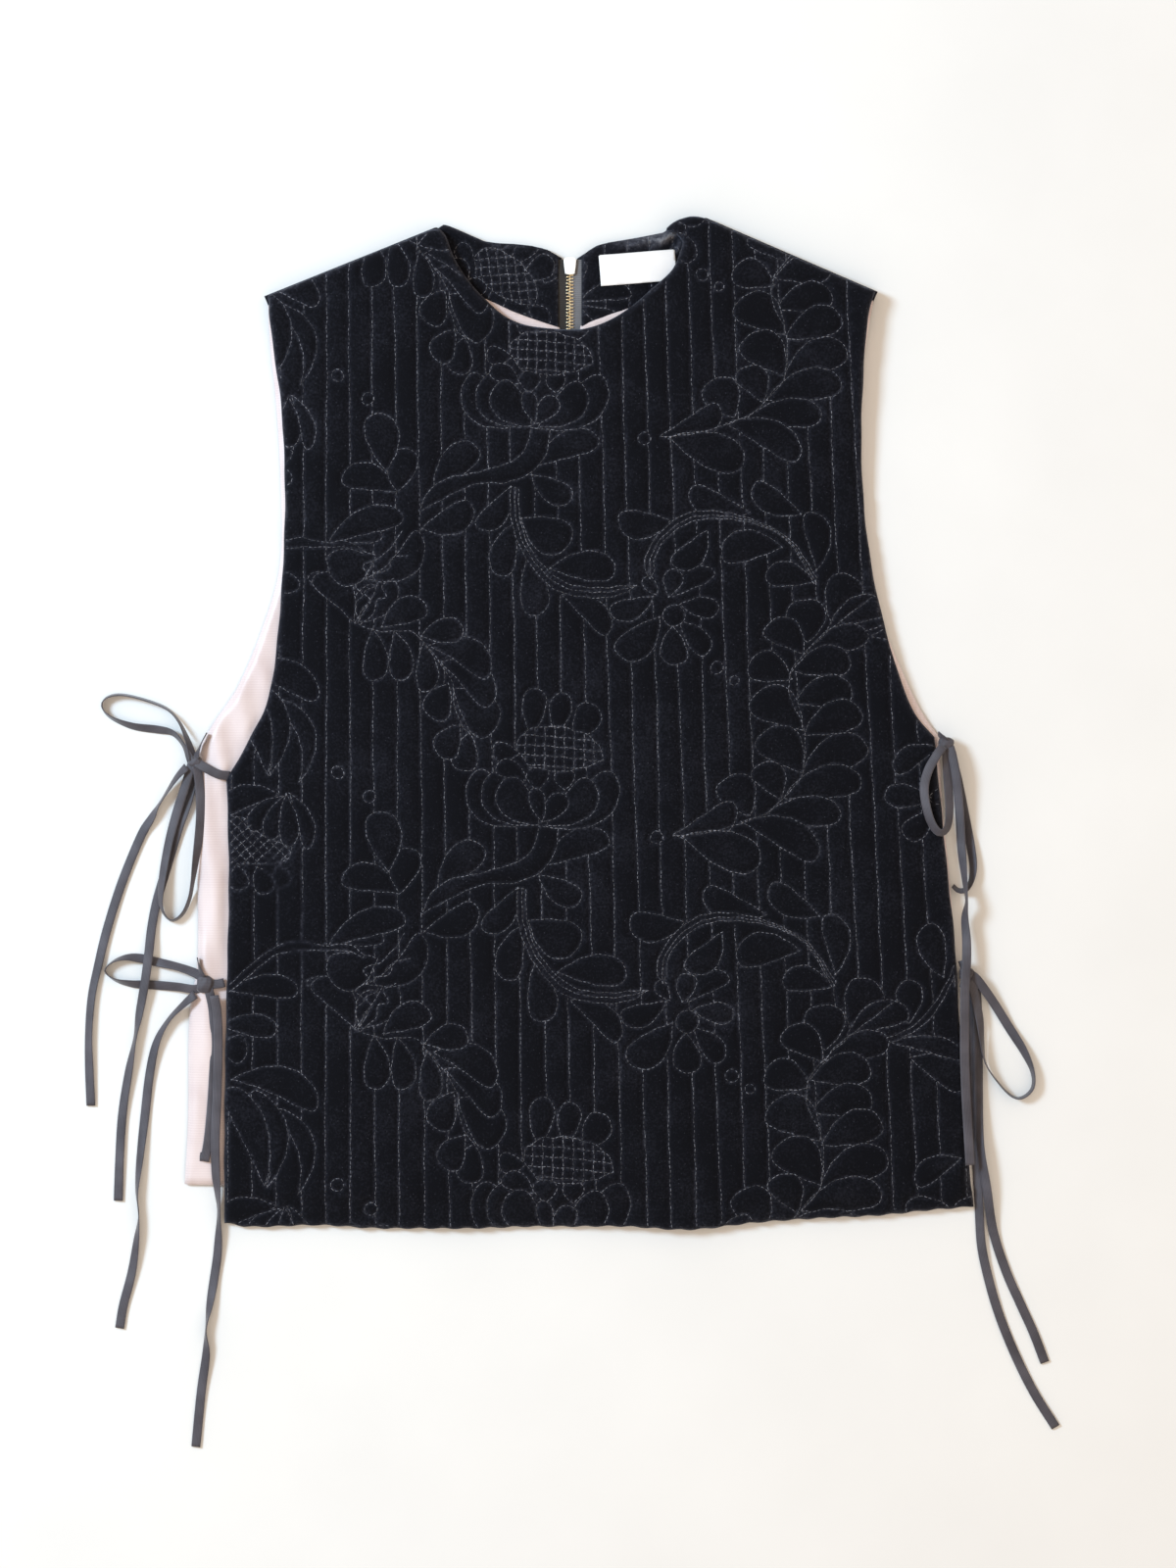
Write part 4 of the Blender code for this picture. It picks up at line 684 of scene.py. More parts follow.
# Edges of the front, (x, y), each from the left or the top.
FRONT_NECKLINE = [(-83.9, 309.5), (-79.1, 295), (-70, 279.5), (-59.3, 267.1), (-46, 255.5), (-30.8, 249.7),
                  (-6.6, 247.8), (8, 249.5), (25, 256.5), (43, 270.8), (57.9, 284.4), (65.3, 301.2),
                  (73.6, 315.8)]
FRONT_LEFT_ARMHOLE = [(-194.8, 264.9), (-195.3, 254), (-191, 222), (-187.3, 190), (-185.8, 133.8),
                      (-188.9, 71.1), (-195.1, 19.7), (-206.2, -7), (-222.5, -36.1)]
FRONT_LEFT_SIDE = [(-222.5, -36.1), (-221.2, -100), (-222.4, -163), (-223.7, -235), (-224.2, -317)]
FRONT_HEM = [(-224.2, -317), (-205, -319.3), (-160, -318.6), (-112, -320.6), (13, -319), (70, -320.7),
             (125, -315.5), (182, -312.6), (249.5, -306.4)]
FRONT_RIGHT_SIDE = [(249.5, -306.4), (243.9, -243), (240.6, -190), (237.7, -140), (232.7, -92), (224.7, -9.5)]
FRONT_RIGHT_ARMHOLE = [(224.7, -9.5), (212.3, 6), (201.7, 31.5), (188.7, 79.8), (181.5, 123.8), (178.6, 170),
                       (179.4, 211.3), (182, 250), (185.8, 267.4)]
FRONT_OUTLINE = outline(FRONT_NECKLINE[::-1], [FRONT_NECKLINE[0], FRONT_LEFT_ARMHOLE[0]], FRONT_LEFT_ARMHOLE,
                        FRONT_LEFT_SIDE, FRONT_HEM, FRONT_RIGHT_SIDE, FRONT_RIGHT_ARMHOLE,
                        [FRONT_RIGHT_ARMHOLE[-1], FRONT_NECKLINE[-1]], spacing=6.0)

SATIN = woven("pink_satin", (0.78, 0.665, 0.66), (0.67, 0.55, 0.55), along=0.00035, across=0.0016,
              twill=0.6, depth=0.00003, roughness=0.38, sheen=0.25, shine=0.5)

# Folds of the loose satin: x and y of the middle, length, width, height, and heading in degrees from +Y.
FOLDS = [(-214, 10, 62, 7, 2.2, 22), (-226, -22, 70, 6, 2.6, 12), (-233, -70, 90, 5, 1.8, 4),
         (-229, -120, 80, 6, 2.3, -5), (-237, -150, 60, 5, 2.0, 8), (-232, -205, 90, 6, 2.3, 3),
         (-240, -235, 80, 5, 1.7, -4), (-234, -270, 60, 6, 2.0, 6), (-206, 42, 50, 5, 1.8, 28)]


def ridges(points, table):
    """Height of long soft folds laid over one another."""
    height = np.zeros(len(points))
    for x, y, length, width, rise, heading in table:
        turn = math.radians(heading)
        across = (points[:, 0] - x) * math.cos(turn) + (points[:, 1] - y) * math.sin(turn)
        along = (points[:, 1] - y) * math.cos(turn) - (points[:, 0] - x) * math.sin(turn)
        height += rise * np.exp(-(across / width)**2 - (along / length * 2)**2)
    return height


def satin_folds(points):
    """Height of the loose satin's folds above the flat, only where the front leaves it bare."""
    bare = np.where(inside(points, FRONT_OUTLINE), 0, nearest_on(points, FRONT_OUTLINE)[0])
    ripples = 0.35 * np.sin(points[:, 0] / 3.1 + points[:, 1] / 19) + 0.3 * np.sin(points[:, 1] / 8.5)
    return np.maximum(ripples + ridges(points, FOLDS), 0) * eased(bare / 4)


for word, side in (("left", -1), ("right", 1)):
    _, hem, edge, armhole, arc, _ = half_of_back(side)
    arc = [(x, y + 0.5) for x, y in arc]
    zip_x, seam_x = ZIP_X + side * LINING_TO_ZIP, ZIP_X - side * LINING_LAP
    centre = [(zip_x, arc[-1][1]), (zip_x, ZIP_END - 3), (seam_x, ZIP_END - 6), (seam_x, hem[0][1])]
    loop = moved_in(outline(arc[:-1] + centre[:1], *straight(centre), [centre[-1]] + hem[1:], edge, armhole,
                            [armhole[-1], arc[0]]), 0.2)
    points, faces = cut(loop, LINING_STEP)
    reach, _ = nearest_on(points, loop)
    turned_down = np.exp(-(reach / TURN_REACH)**2) * at_the_sides(points)
    height = LINING_BOTTOM + LINING_WALL + satin_folds(points) * eased(reach / 5)
    height -= TOP_TURNS_DOWN * turned_down
    lining = shell("back_lining_of_satin_" + word, faces, np.column_stack([points, height]),
                   np.column_stack([points, LINING_BOTTOM - UNDERSIDE_TURNS_DOWN * turned_down]), SATIN)
    worn(lining, "back_lining_" + word)

# ==== The quilting pattern and the neck facings ====
# The velvet is quilted by machine before it is cut: straight channels, with large flowers, leaves and a
# feathered plume that repeat down the cloth. The same quilted velvet faces the inside of the back neck, each
# side of the zip.

CHANNEL_PITCH, CHANNEL_FROM = 14.88, -40.1
PATTERN_REPEAT, LEAN = 253.6, 0.000155
FACING_WALL, FACING_PUFF, FACING_STEP, FACING_TO_ZIP = 1.2, 1.3, 1.6, 7.3
FRONT_STITCH_PITCH, FACING_STITCH_PITCH, ROW_STEP, THREAD_LIFT = 2.9, 2.7, 1.1, 0.34

# Leaves and petals of one repeat, front ones first: stalk x and y, tip x and y, width, bend to the left.
LEAVES = [
    # the feathered spray under the flag flower
    (-124, 60, -96, 73, 17, 0.10), (-99, 54, -73, 58, 16, 0.05), (-94, 48, -56, 30, 19, 0.16),
    (-87, 38, -55, 11, 19, 0.14), (-79, 21, -56, -8, 24, 0.12), (-130, 58, -129, 26, 16, 0.05),
    (-116, 57, -112, 26, 15, 0.06), (-98, 49, -96, 19, 14, 0.05), (-82, 24, -90, 1, 18, -0.10),
    (-75, -2, -85, -23, 17, -0.10), (-69, -7, -72, -31, 17, -0.05),
    # beside the blossom's stem
    (-89, -104, -61, -78, 20, 0.05), (-22, -91, 19, -73, 18, 0.10), (-25, -97, 1, -113, 16, -0.05),
    (-120, -94, -127, -57, 22, -0.05), (-113, -108, -106, -80, 20, 0.05), (-112, -108, -149, -98, 18, -0.12),
    # along the crescent
    (-18, 97, 23, 96, 19, 0.05), (-36, 128, -5, 114, 24, -0.08), (-41, 125, -49, 92, 17, -0.06),
    (-33, 101, -27, 67, 18, 0.05), (-43, 148, -63, 122, 15, 0.10), (-99, 122, -67, 136, 18, -0.10),
    (-11, 80, 19, 56, 15, 0.12),
    # round and under the arch
    (49.5, 80, 41.5, 91, 8, 0.0), (57, 79, 61, 96, 12, 0.0), (58, 127, 25, 127, 18, 0.10),
    (81, 121, 60, 98, 16, 0.12),
    (128, 110, 90, 106, 20, -0.10), (148, 88, 118, 92, 16, -0.10), (150, 96, 146, 132, 16, -0.10),
    (108, 132, 70, 146, 17, 0.10), (140, 131, 110, 149, 16, 0.08),
    # the daisy
    (60, 79, 85, 95, 12, 0.10), (64, 74, 88, 71, 13, 0.0), (64, 63, 81, 43, 14, 0.05),
    (59, 60, 62, 36, 17, -0.05), (51, 66, 25, 42, 20, 0.08), (47, 79, 20, 69, 14, 0.10),
    # the plume, from its root upwards
    (66, -72, 114, -89, 24, 0.02), (103, -63, 151, -85, 20, 0.10), (117, -59, 165, -58, 19, 0.05),
    (60, -71, 99, -53, 18, -0.12), (108, -59, 92, -36, 24, -0.08), (129, -48, 178, -37, 21, 0.08),
    (127, -49, 112, -28, 19, -0.15), (140, -36, 181, -14, 23, 0.08), (141, -32, 114, -9, 25, -0.15),
    (142, -8, 178, 6, 21, 0.08), (141, -5, 109, 14, 25, -0.15), (136, 12, 172, 20, 20, 0.08),
    (134, 27, 107, 35, 20, -0.12), (135, 32, 171, 38, 20, 0.08), (142, 43, 118, 60, 19, -0.15),
    (144, 44, 182, 55, 17, 0.06), (157, 58, 194, 73, 17, 0.12), (144, 50, 143, 77, 25, 0.0),
    (160, 60, 169, 93, 24, -0.05),
    # the bough at the right edge
    (194, 66, 195, 92, 16, 0.0), (215, 94, 206, 126, 17, 0.05), (184, 54, 228, 46, 11, 0.08),
    (195, 45, 228, 27, 17, 0.10),
    # the flag flower
    (-128, 105, -158, 97, 24, 0.10), (-158, 112, -111, 130, 17, 0.10), (-157, 113, -124, 118, 13, 0.10),
    (-134, 90, -100, 119, 17, -0.20), (-128, 90, -101, 99, 13, 0.10), (-142, 63, -166, 92, 18, -0.15),
    (-141, 63, -129, 86, 9, 0.10), (-139, 63, -117, 90, 15, -0.12), (-140, 62, -170, 92, 13, -0.20),
    # the bough and the flower at the left edge
    (-217, 86, -176, 86, 14, 0.07), (-222, 65, -189, 62, 14, 0.05), (-223, 51, -207, 50, 17, 0.0),
    (-216, 32, -164, 16, 19, 0.14), (-196, -33, -218, 27, 18, -0.08), (-195, -34, -203, 25, 13, -0.19),
    (-176, -38, -189, 14, 12, -0.22),
    # the flower at the right edge
    (226, -16, 199, -31, 14, -0.10), (222, -48, 193, -46, 15, 0.0), (221, -56, 206, -73, 15, 0.05),
    (240, -38, 222, -50, 9, 0.0),
    # the open flower at the left edge, and the points under its basket
    (-184.5, -46, -182.5, -78.5, 12.5, 0.02), (-186.6, -47.5, -195, -74, 12, -0.03),
    (-187.6, -47, -207, -68, 12.5, -0.06), (-189, -45.5, -226, -56, 15, -0.12),
    (-182.5, -45, -171, -80, 10, 0.12), (-216, -90, -213, -106, 12, 0.0), (-203, -91.5, -196, -108, 13, 0.0),
    (-190, -90, -186, -104, 11, 0.0),
]

# Stems as bands between two rows of stitching, with a third row along the middle of the broad ones.
STEMS = [
    ([(-25, -66), (-29, -80), (-38, -88), (-50, -92), (-65, -96), (-80, -99), (-92, -107), (-99, -121)],
     [(-13, -67), (-14, -78), (-18, -88), (-28, -97), (-43, -102), (-56, -102), (-70, -106), (-99, -121)],
     False),
    ([(-43, 148), (-43, 132), (-40, 118), (-33, 103), (-21, 88), (-9, 81), (12, 78), (27, 80.5), (36, 85.6)],
     [(-38, 147), (-37, 128), (-31, 110), (-20, 96), (-9, 88), (3, 85), (18, 84.6), (27, 85.8), (36, 85.6)],
     True),
    ([(45, 90.5), (41.5, 97), (43, 106), (50, 118), (65, 130), (82, 133), (102, 130), (122, 122), (136, 112),
      (150, 91)],
     [(45, 90.5), (47.5, 95), (47.5, 102), (53, 113), (66, 124), (82, 128), (106, 126), (128, 117),
      (139, 104), (148, 87)], True),
    ([(-222, 85), (-205, 101), (-190, 112), (-176, 116), (-160, 113), (-146, 114), (-136, 108)],
     [(-222, 81), (-203, 97), (-190, 107), (-176, 110), (-160, 110), (-147, 110), (-136, 106)], False),
    ([(181, 57), (191, 61), (200, 67), (208, 76), (214, 85), (219, 94), (222, 103)],
     [(183, 54), (194, 59), (203, 65), (211, 74), (217, 84), (221, 93), (225, 102)], False),
]

# Single rows of stitching: the spines of the spray and the plume, and the flag flower's ruffles.
ROWS = [
    [(-141, 62), (-125, 57), (-106, 57), (-97, 49), (-88, 38), (-79, 23), (-79, 13), (-73, -3), (-64, -9)],
    [(60, -72), (85, -69), (115, -59), (130, -47), (141, -32), (142, -5), (133, 16), (134, 32), (143, 44),
     (162, 61), (184, 78)],
    [(-139, 63), (-136, 72), (-131, 76), (-135, 82), (-127, 86), (-130, 93), (-120, 96), (-118, 103),
     (-108, 105)],
    [(-139, 65), (-141, 74), (-136, 80), (-141, 86), (-133, 92), (-136, 99), (-126, 103), (-116, 113),
     (-112, 120)],
    [(-137, 62), (-129, 69), (-127, 77), (-121, 79), (-124, 86), (-117, 90)],
]

# One blossom about the foot of its cup, pointing up: stalk x and y, tip x and y, width, bend.
BLOSSOM = [
    (2, 2, -3, 23, 10, 0), (3, 2, 16, 19, 13, 0), (0, 0, -22, 28, 22, 0.08), (5, 0, 34, 27, 21, -0.10),
    (5, -1, 48, 31, 24, -0.12), (-8, 28, -27, 37, 12, -0.10), (-1, 22, -1, 36, 14, 0),
    (16, 22, 16, 35, 13, 0), (-1, 0, -30, 33, 27, 0.12), (-5, 1, -42, 32, 25, 0.15),
    (-13, 45, -29, 48, 12, 0.05), (-5, 57, -2, 86, 15, 0.0), (11, 57, 15, 83, 14, 0.0),
    (22, 54, 34, 76, 17, -0.05),
]

# What each cut piece of the cloth shows: its shapes, its repeats up the cloth, and where its channels start.
# A blossom is its foot x and y, turn in degrees, size and the turn of its hatching. A basket is its border,
# and the pitch and turn of its hatching.
FRONT_CLOTH = {
    "blossoms": [(-25, -65, 0, 1.0, 0)],
    "baskets": [([(-222, -58.5), (-210.4, -61), (-203.8, -68.7), (-195, -74.2), (-180.7, -78.6),
                  (-182.9, -86.3), (-188.4, -89.6), (-222, -89.4), (-222, -58.5)], 4.9, 42)],
    "stems": STEMS, "leaves": LEAVES, "rows": ROWS,
    "rings": [(60, 67, 7), (49, -73, 4), (87, 34, 4), (-152, -32, 4), (-132, -47, 4), (98, 26, 3)],
    "repeats": (PATTERN_REPEAT, 0, -PATTERN_REPEAT), "channels": range(-14, 22), "from": CHANNEL_FROM}
FACING_CLOTH = {
    "left": {"blossoms": [(-78, 252, -33, 0.88, 42)],
             "leaves": [(-22, 277, -13, 291, 12, 0.05), (-33, 264, -20, 250, 11, 0.10)]},
    "right": {"rings": [(60, 296, 4), (55, 283, 5)],
              "leaves": [(2, 277, 3, 290, 7, 0.12), (1, 265, 33, 271, 12, 0.12), (1, 263, 26, 255, 10, -0.08),
                         (2, 258, 16, 250, 9, 0.0)],
              "channels": range(0, 6), "from": 9.8},
}


def leaf(x, y, tip_x, tip_y, width, bend):
    """Outline of a leaf or petal from its stalk to its tip, pointed at the stalk and round at the tip."""
    run = np.array((tip_x - x, tip_y - y), float)
    along = 0.5 - 0.5 * np.cos(np.linspace(0, math.pi, 24))
    half = 1.18 * width * along**0.9 * (1 - along)**0.45
    side = np.concatenate([half, -half[-2:0:-1]])
    reach = np.concatenate([along, along[-2:0:-1]])
    across = side + bend * np.linalg.norm(run) * 4 * reach * (1 - reach)
    left = np.array((-run[1], run[0])) / np.linalg.norm(run)
    return np.array((x, y)) + reach[:, None] * run + across[:, None] * left


def turning(degrees):
    """A matrix that turns rows of points anticlockwise."""
    angle = math.radians(degrees)
    return np.array([[math.cos(angle), math.sin(angle)], [-math.sin(angle), math.cos(angle)]])


def kept_inside(rows, border):
    """The part of each row that lies inside a closed border."""
    rows = [row[inside(row, border)] for row in rows]
    return [row for row in rows if len(row) > 2]


def blossom(x, y, turn, size, hatch_turn):
    """Closed shapes of a blossom, and the rows that cross-hatch its dome."""
    grid = turning(turn) * size
    round_top = np.linspace(0, math.pi, 31)
    top = np.column_stack([13 + 27 * np.cos(round_top), 44 + 17 * np.sin(round_top)**0.8
                           + 1.3 * np.abs(np.sin(round_top * 5)) - 0.12 * 27 * np.cos(round_top)])
    foot = np.column_stack([np.linspace(-12, 36, 9)[1:-1], 35 + 1.5 * np.cos(np.linspace(0, 6, 7))])
    dome = np.vstack([top, foot])
    hatch = [smooth([(-22, 45 + row * 6.2), (12, 43 + row * 6.2), (46, 39 + row * 6.2)], 2.0)
             for row in range(-4, 6)]
    hatch += [smooth([(-16 + row * 6.3, 14), (-15 + row * 6.2, 45), (-14 + row * 6.0, 78)], 2.0)
              for row in range(10)]
    if hatch_turn:
        hatch = [(row - (13, 45)) @ turning(hatch_turn) + (13, 45) for row in hatch]
    shapes = [dome] + [leaf(*row) for row in BLOSSOM]
    return ([shape @ grid + (x, y) for shape in shapes],
            [row @ grid + (x, y) for row in kept_inside(hatch, dome)])


def cross_hatched(border, pitch, turn):
    """Two crossing sets of straight rows inside a closed border."""
    line, rows = np.linspace(-40, 40, 81), []
    for place in np.arange(-8, 9) * pitch:
        rows += [np.column_stack([line, np.full(81, place)]), np.column_stack([np.full(81, place), line])]
    return kept_inside([row @ turning(turn) + border.mean(axis=0) for row in rows], border)


def leaned(points):
    """The cloth was cut and stretched a little off the straight: the pattern spreads going down and right."""
    x, y = points.T
    return np.column_stack([x - LEAN * (x + 150) * y, y - LEAN / 2 * y * y])


def on_cloth(points, shift):
    """A shape of the middle repeat, moved up by whole repeats along the spread cloth."""
    x, y = points.T
    straight_y = y + LEAN / 2 * y * y
    straight_x = (x + 150 * LEAN * straight_y) / (1 - LEAN * straight_y)
    return leaned(np.column_stack([straight_x, straight_y + shift]))


def quilting(loop, margin, cloth):
    """Every row of stitching on a cut piece: a list of the pattern's rows and one of the channels."""
    def held(points):
        """Which points lie on the piece, clear of its edge."""
        return inside(points, loop) & (nearest_on(points, loop)[0] > margin)

    drawn = []

    def visible(points):
        """Which of them no shape that is already drawn hides."""
        keep = held(points)
        for shape, low, high in drawn:
            near = keep & np.all((points > low) & (points < high), axis=1)
            if near.any():
                spots = np.flatnonzero(near)
                hidden = inside(points[spots], shape) | (nearest_on(points[spots], shape)[0] < 0.9)
                keep[spots[hidden]] = False
        return keep

    def runs(points, keep):
        """The unbroken lengths of a row that are kept."""
        found = np.split(np.arange(len(points)), np.flatnonzero(np.diff(keep.astype(int))) + 1)
        return [points[part] for part in found if keep[part[0]] and len(part) > 3]

    def evenly(points, closed):
        """The row again, with its points at an even step."""
        points = np.vstack([points, points[:1]]) if closed else points
        steps = lengths_along(points)
        wanted = np.linspace(0, steps[-1], max(4, round(steps[-1] / ROW_STEP)))
        return np.column_stack([np.interp(wanted, steps, column) for column in points.T])

    pattern, channels, closed, opened = [], [], [], []
    for row in cloth.get("blossoms", ()):
        shapes, hatch = blossom(*row)
        closed += shapes
        opened += hatch
    for upper, lower, broad in cloth.get("stems", ()):
        upper, lower = smooth(upper, 3.0), smooth(lower, 3.0)
        closed.append(np.vstack([upper, lower[::-1]]))
        if broad:
            share = np.linspace(0, 1, 40)
            sides = [np.column_stack([np.interp(share, np.linspace(0, 1, len(side)), column)
                                      for column in side.T])
                     for side in (upper, lower)]
            opened.append(sides[0] * 0.45 + sides[1] * 0.55)
    turn = np.linspace(0, 2 * math.pi, 14)[:-1]
    closed += [np.column_stack([x + size * np.cos(turn), y + size * np.sin(turn)])
               for x, y, size in cloth.get("rings", ())]
    closed += [leaf(*row) for row in cloth["leaves"]]
    for border, pitch, turned in cloth.get("baskets", ()):
        closed.append(outline(*straight(border), spacing=1.5))
        opened += cross_hatched(closed[-1], pitch, turned)
    rows = [smooth(row, 1.5) for row in cloth.get("rows", ())]
    for shift in cloth.get("repeats", (0,)):
        for row in opened + rows:
            row = on_cloth(row, shift)
            if held(row).any():
                row = evenly(row, False)
                pattern += runs(row, held(row))
    for shift in cloth.get("repeats", (0,)):
        for shape in closed:
            shape = on_cloth(shape, shift)
            if held(shape).any():
                row = evenly(shape, True)
                keep = visible(row)
                start = int(np.argmin(keep))
                pattern += [row] if keep.all() else runs(np.roll(row, -start, axis=0), np.roll(keep, -start))
            drawn.append((shape, shape.min(axis=0) - 1, shape.max(axis=0) + 1))
    height = np.arange(-330.0, 330.0, ROW_STEP)
    for number in cloth.get("channels", ()):
        across = cloth["from"] + number * CHANNEL_PITCH + 0.35 * np.sin(height / 31 + 2.3 * number)
        across += 0.2 * np.sin(height / 7.7 + number)
        row = leaned(np.column_stack([across, height]))
        channels += runs(row, visible(row))
    return pattern, channels


def tree_of(lines):
    """A search tree of every point on some lines."""
    points = np.vstack([np.vstack([line, (line[1:] + line[:-1]) / 2]) for line in lines])
    tree = KDTree(len(points))
    for index, (x, y) in enumerate(points):
        tree.insert((x, y, 0), index)
    tree.balance()
    return tree


def reach_from(tree, points):
    """How far each point lies from the lines of a search tree."""
    return np.array([tree.find((x, y, 0))[2] for x, y in points])


def puffed(reach, puff):
    """Rise of the wadding by its reach from a row of stitching: a narrow dip, then nearly level."""
    return puff * (0.62 * (1 - np.exp(-(reach / 1.5)**2)) + 0.38 * (1 - np.exp(-(reach / 4.5)**2)))


# Lays a thread stitch at every pitch along rows of stitching.
STITCHES, nodes, link, start, end = new_group(
    "rows_of_stitching", "GeometryNodeTree",
    [("Geometry", "Geometry"), ("Pitch", "Float"), ("Stitch", "Vector"), ("Seed", "Int"),
     ("Thread", "Material")],
    [("Geometry", "Geometry")])
row = nodes.new("GeometryNodeMeshToCurve")
spaced = nodes.new("GeometryNodeCurveToPoints")
spaced.mode = "LENGTH"
turned = nodes.new("FunctionNodeAlignRotationToVector")
turned.axis = "X"
thread = set_inputs(nodes.new("GeometryNodeMeshIcoSphere"), Radius=1, Subdivisions=1)
smoothed = nodes.new("GeometryNodeSetShadeSmooth")
varied = nodes.new("FunctionNodeRandomValue")
varied.data_type = "FLOAT_VECTOR"
set_inputs(varied, Min=(0.85, 0.8, 0.8), Max=(1.08, 1.2, 1.1))
scaled = nodes.new("ShaderNodeVectorMath")
scaled.operation = "MULTIPLY"
placed = nodes.new("GeometryNodeInstanceOnPoints")
real = nodes.new("GeometryNodeRealizeInstances")
dyed = nodes.new("GeometryNodeSetMaterial")
wire(link, (start, "Geometry", row, "Mesh"), (row, "Curve", spaced, "Curve"),
     (start, "Pitch", spaced, "Length"), (spaced, "Tangent", turned, "Vector"),
     (spaced, "Points", placed, "Points"), (turned, "Rotation", placed, "Rotation"),
     (thread, "Mesh", smoothed, "Geometry"), (smoothed, "Geometry", placed, "Instance"),
     (start, "Seed", varied, "Seed"), (varied, "Value", scaled, 0), (start, "Stitch", scaled, 1),
     (scaled, "Vector", placed, "Scale"), (placed, "Instances", real, "Geometry"),
     (real, "Geometry", dyed, "Geometry"), (start, "Thread", dyed, "Material"),
     (dyed, "Geometry", end, "Geometry"))

THREAD, nodes, link, shader = new_material("grey_thread", Roughness=0.6, Sheen_Weight=0.2)
place = nodes.new("ShaderNodeTexCoord")
both = nodes.new("ShaderNodeMix")
for scale, half in ((900, "A"), (130, "B")):
    noise = set_inputs(nodes.new("ShaderNodeTexNoise"), Scale=scale)
    wire(link, (place, "Object", noise, "Vector"), (noise, "Fac", both, half))
tones = ramp(nodes, (0.41, (0.026, 0.027, 0.036)), (0.50, (0.105, 0.107, 0.130)), (0.59, (0.26, 0.265, 0.31)))
wire(link, (both, 0, tones, "Fac"), (tones, "Color", shader, "Base Color"))


def made_plain(piece, tree, values):
    """Runs a node tree on a piece with the named values, and keeps the result as its own plain mesh."""
    modifier = piece.modifiers.new("made", "NODES")
    modifier.node_group = tree
    names = {item.name: item.identifier for item in tree.interface.items_tree if item.in_out == "INPUT"}
    for name, value in values.items():
        modifier[names[name]] = value
    bpy.context.view_layer.update()
    result = bpy.data.meshes.new_from_object(piece.evaluated_get(bpy.context.evaluated_depsgraph_get()))
    result.name = piece.name
    piece.modifiers.remove(modifier)
    piece.data = result


def stitched(name, rows, height, pitch, seed):
    """The stitches along rows of places; height gives the height of the cloth at each."""
    points, edges = [], []
    for row in rows:
        row = row + 0.26 * np.sin(row[:, ::-1] / 1.9 + 1.5 * np.sin(row / 6.3))
        first = len(points)
        points += np.column_stack([row, height(row)]).tolist()
        edges += [(index, index + 1) for index in range(first, len(points) - 1)]
    mesh = bpy.data.meshes.new(name)
    mesh.from_pydata((np.array(points) * MM).tolist(), edges, [])
    piece = in_scene(name, mesh)
    made_plain(piece, STITCHES, {"Pitch": pitch * MM, "Stitch": (0.49 * pitch * MM, 0.20 * MM, 0.26 * MM),
                                 "Seed": seed, "Thread": THREAD})
    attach(piece, "garment")


# Crumples of the velvet at the neck's right end: middle's x and y, length, width, height, heading from +Y.
CRUMPLES = [(57, 306, 22, 2.4, 2.6, -52), (63, 300, 16, 2.0, 1.8, -24), (49, 304, 20, 2.6, 1.6, -80),
            (38, 301.5, 26, 3.0, 1.0, -84)]


def facing_folds(points, neck):
    """Height of a facing above its flat: a soft roll along the neck's edge, and the crumples."""
    roll = 1.2 * np.exp(-((nearest_on(points, np.array(neck))[0] - 3.0) / 2.2)**2)
    return roll + ridges(points, CRUMPLES) + 0.4 * np.sin(points[:, 0] / 17)


# Where the collar's edge fills out to each shoulder corner, from the shoulder inwards.
NECK_CORNERS = {"left": [(-85.2, 314), (-80.6, 312.6), (-76.5, 310.8), (-71.2, 308.5), (-63.8, 305.3)],
                "right": [(75.2, 318.6), (70.5, 318.4), (65.2, 317), (60.6, 314.8), (56.4, 312)]}

for word, side in (("left", -1), ("right", 1)):
    neck, _, _, _, arc, shoulder = half_of_back(side)
    neck = [(x, y - 0.5) for x, y in neck]
    neck[0] = tuple(np.array(neck[0]) - 1.5 * shoulder.normal)
    neck[0:1 + (side < 0)] = NECK_CORNERS[word]
    zip_x = ZIP_X + side * FACING_TO_ZIP
    upper_end, lower_end = (zip_x, neck[-1][1] + 1.5), (zip_x, arc[-1][1])
    loop = outline(neck[:-1] + [upper_end], [upper_end, lower_end], [lower_end] + arc[-2::-1],
                   [arc[0], neck[0]], spacing=4.0)
    pattern, channels = quilting(loop, margin=1.5, cloth=FACING_CLOTH[word])
    points, faces = cut(loop, FACING_STEP)
    reach, _ = nearest_on(points, loop)
    from_row = reach_from(tree_of(pattern + channels), points)
    folds = facing_folds(points, neck)
    top = LINING_BOTTOM + FACING_WALL + puffed(from_row, FACING_PUFF) + folds
    top -= (1.5 + 0.8 * folds.clip(0, 2)) * np.exp(-(reach / 1.4)**2)
    facing = shell("neck_facing_of_velvet_" + word, faces, np.column_stack([points, top]),
                   np.column_stack([points, np.full(len(points), LINING_BOTTOM)]), VELVET)
    # Paler along the stitching: pressed pile and painted sheen.
    set_values(facing, "seam", np.tile(np.exp(-(from_row / 0.9)**2), 2))
    # Paler round the edges, along the roll of the neck towards the right and on the crumples' ridges: partly
    # pressed pile, partly painted highlight where the roll and the crumples face the light.
    from_neck = nearest_on(points, np.array(neck))[0]
    brushed_pile_and_sheen = np.exp(-(reach / 2.0)**2) + 0.9 * np.exp(-(from_neck / 4.5)**2) * eased((points[:, 0] - 5) / 40)
    set_values(facing, "rim", np.tile(brushed_pile_and_sheen + 1.1 * ridges(points, CRUMPLES), 2))
    worn(facing, "neck_facing_" + word)
    stitched("neck_facing_stitches_" + word, pattern + channels,
             lambda row: LINING_BOTTOM + FACING_WALL + THREAD_LIFT - 0.02 + facing_folds(row, neck),
             FACING_STITCH_PITCH, 4 + side)

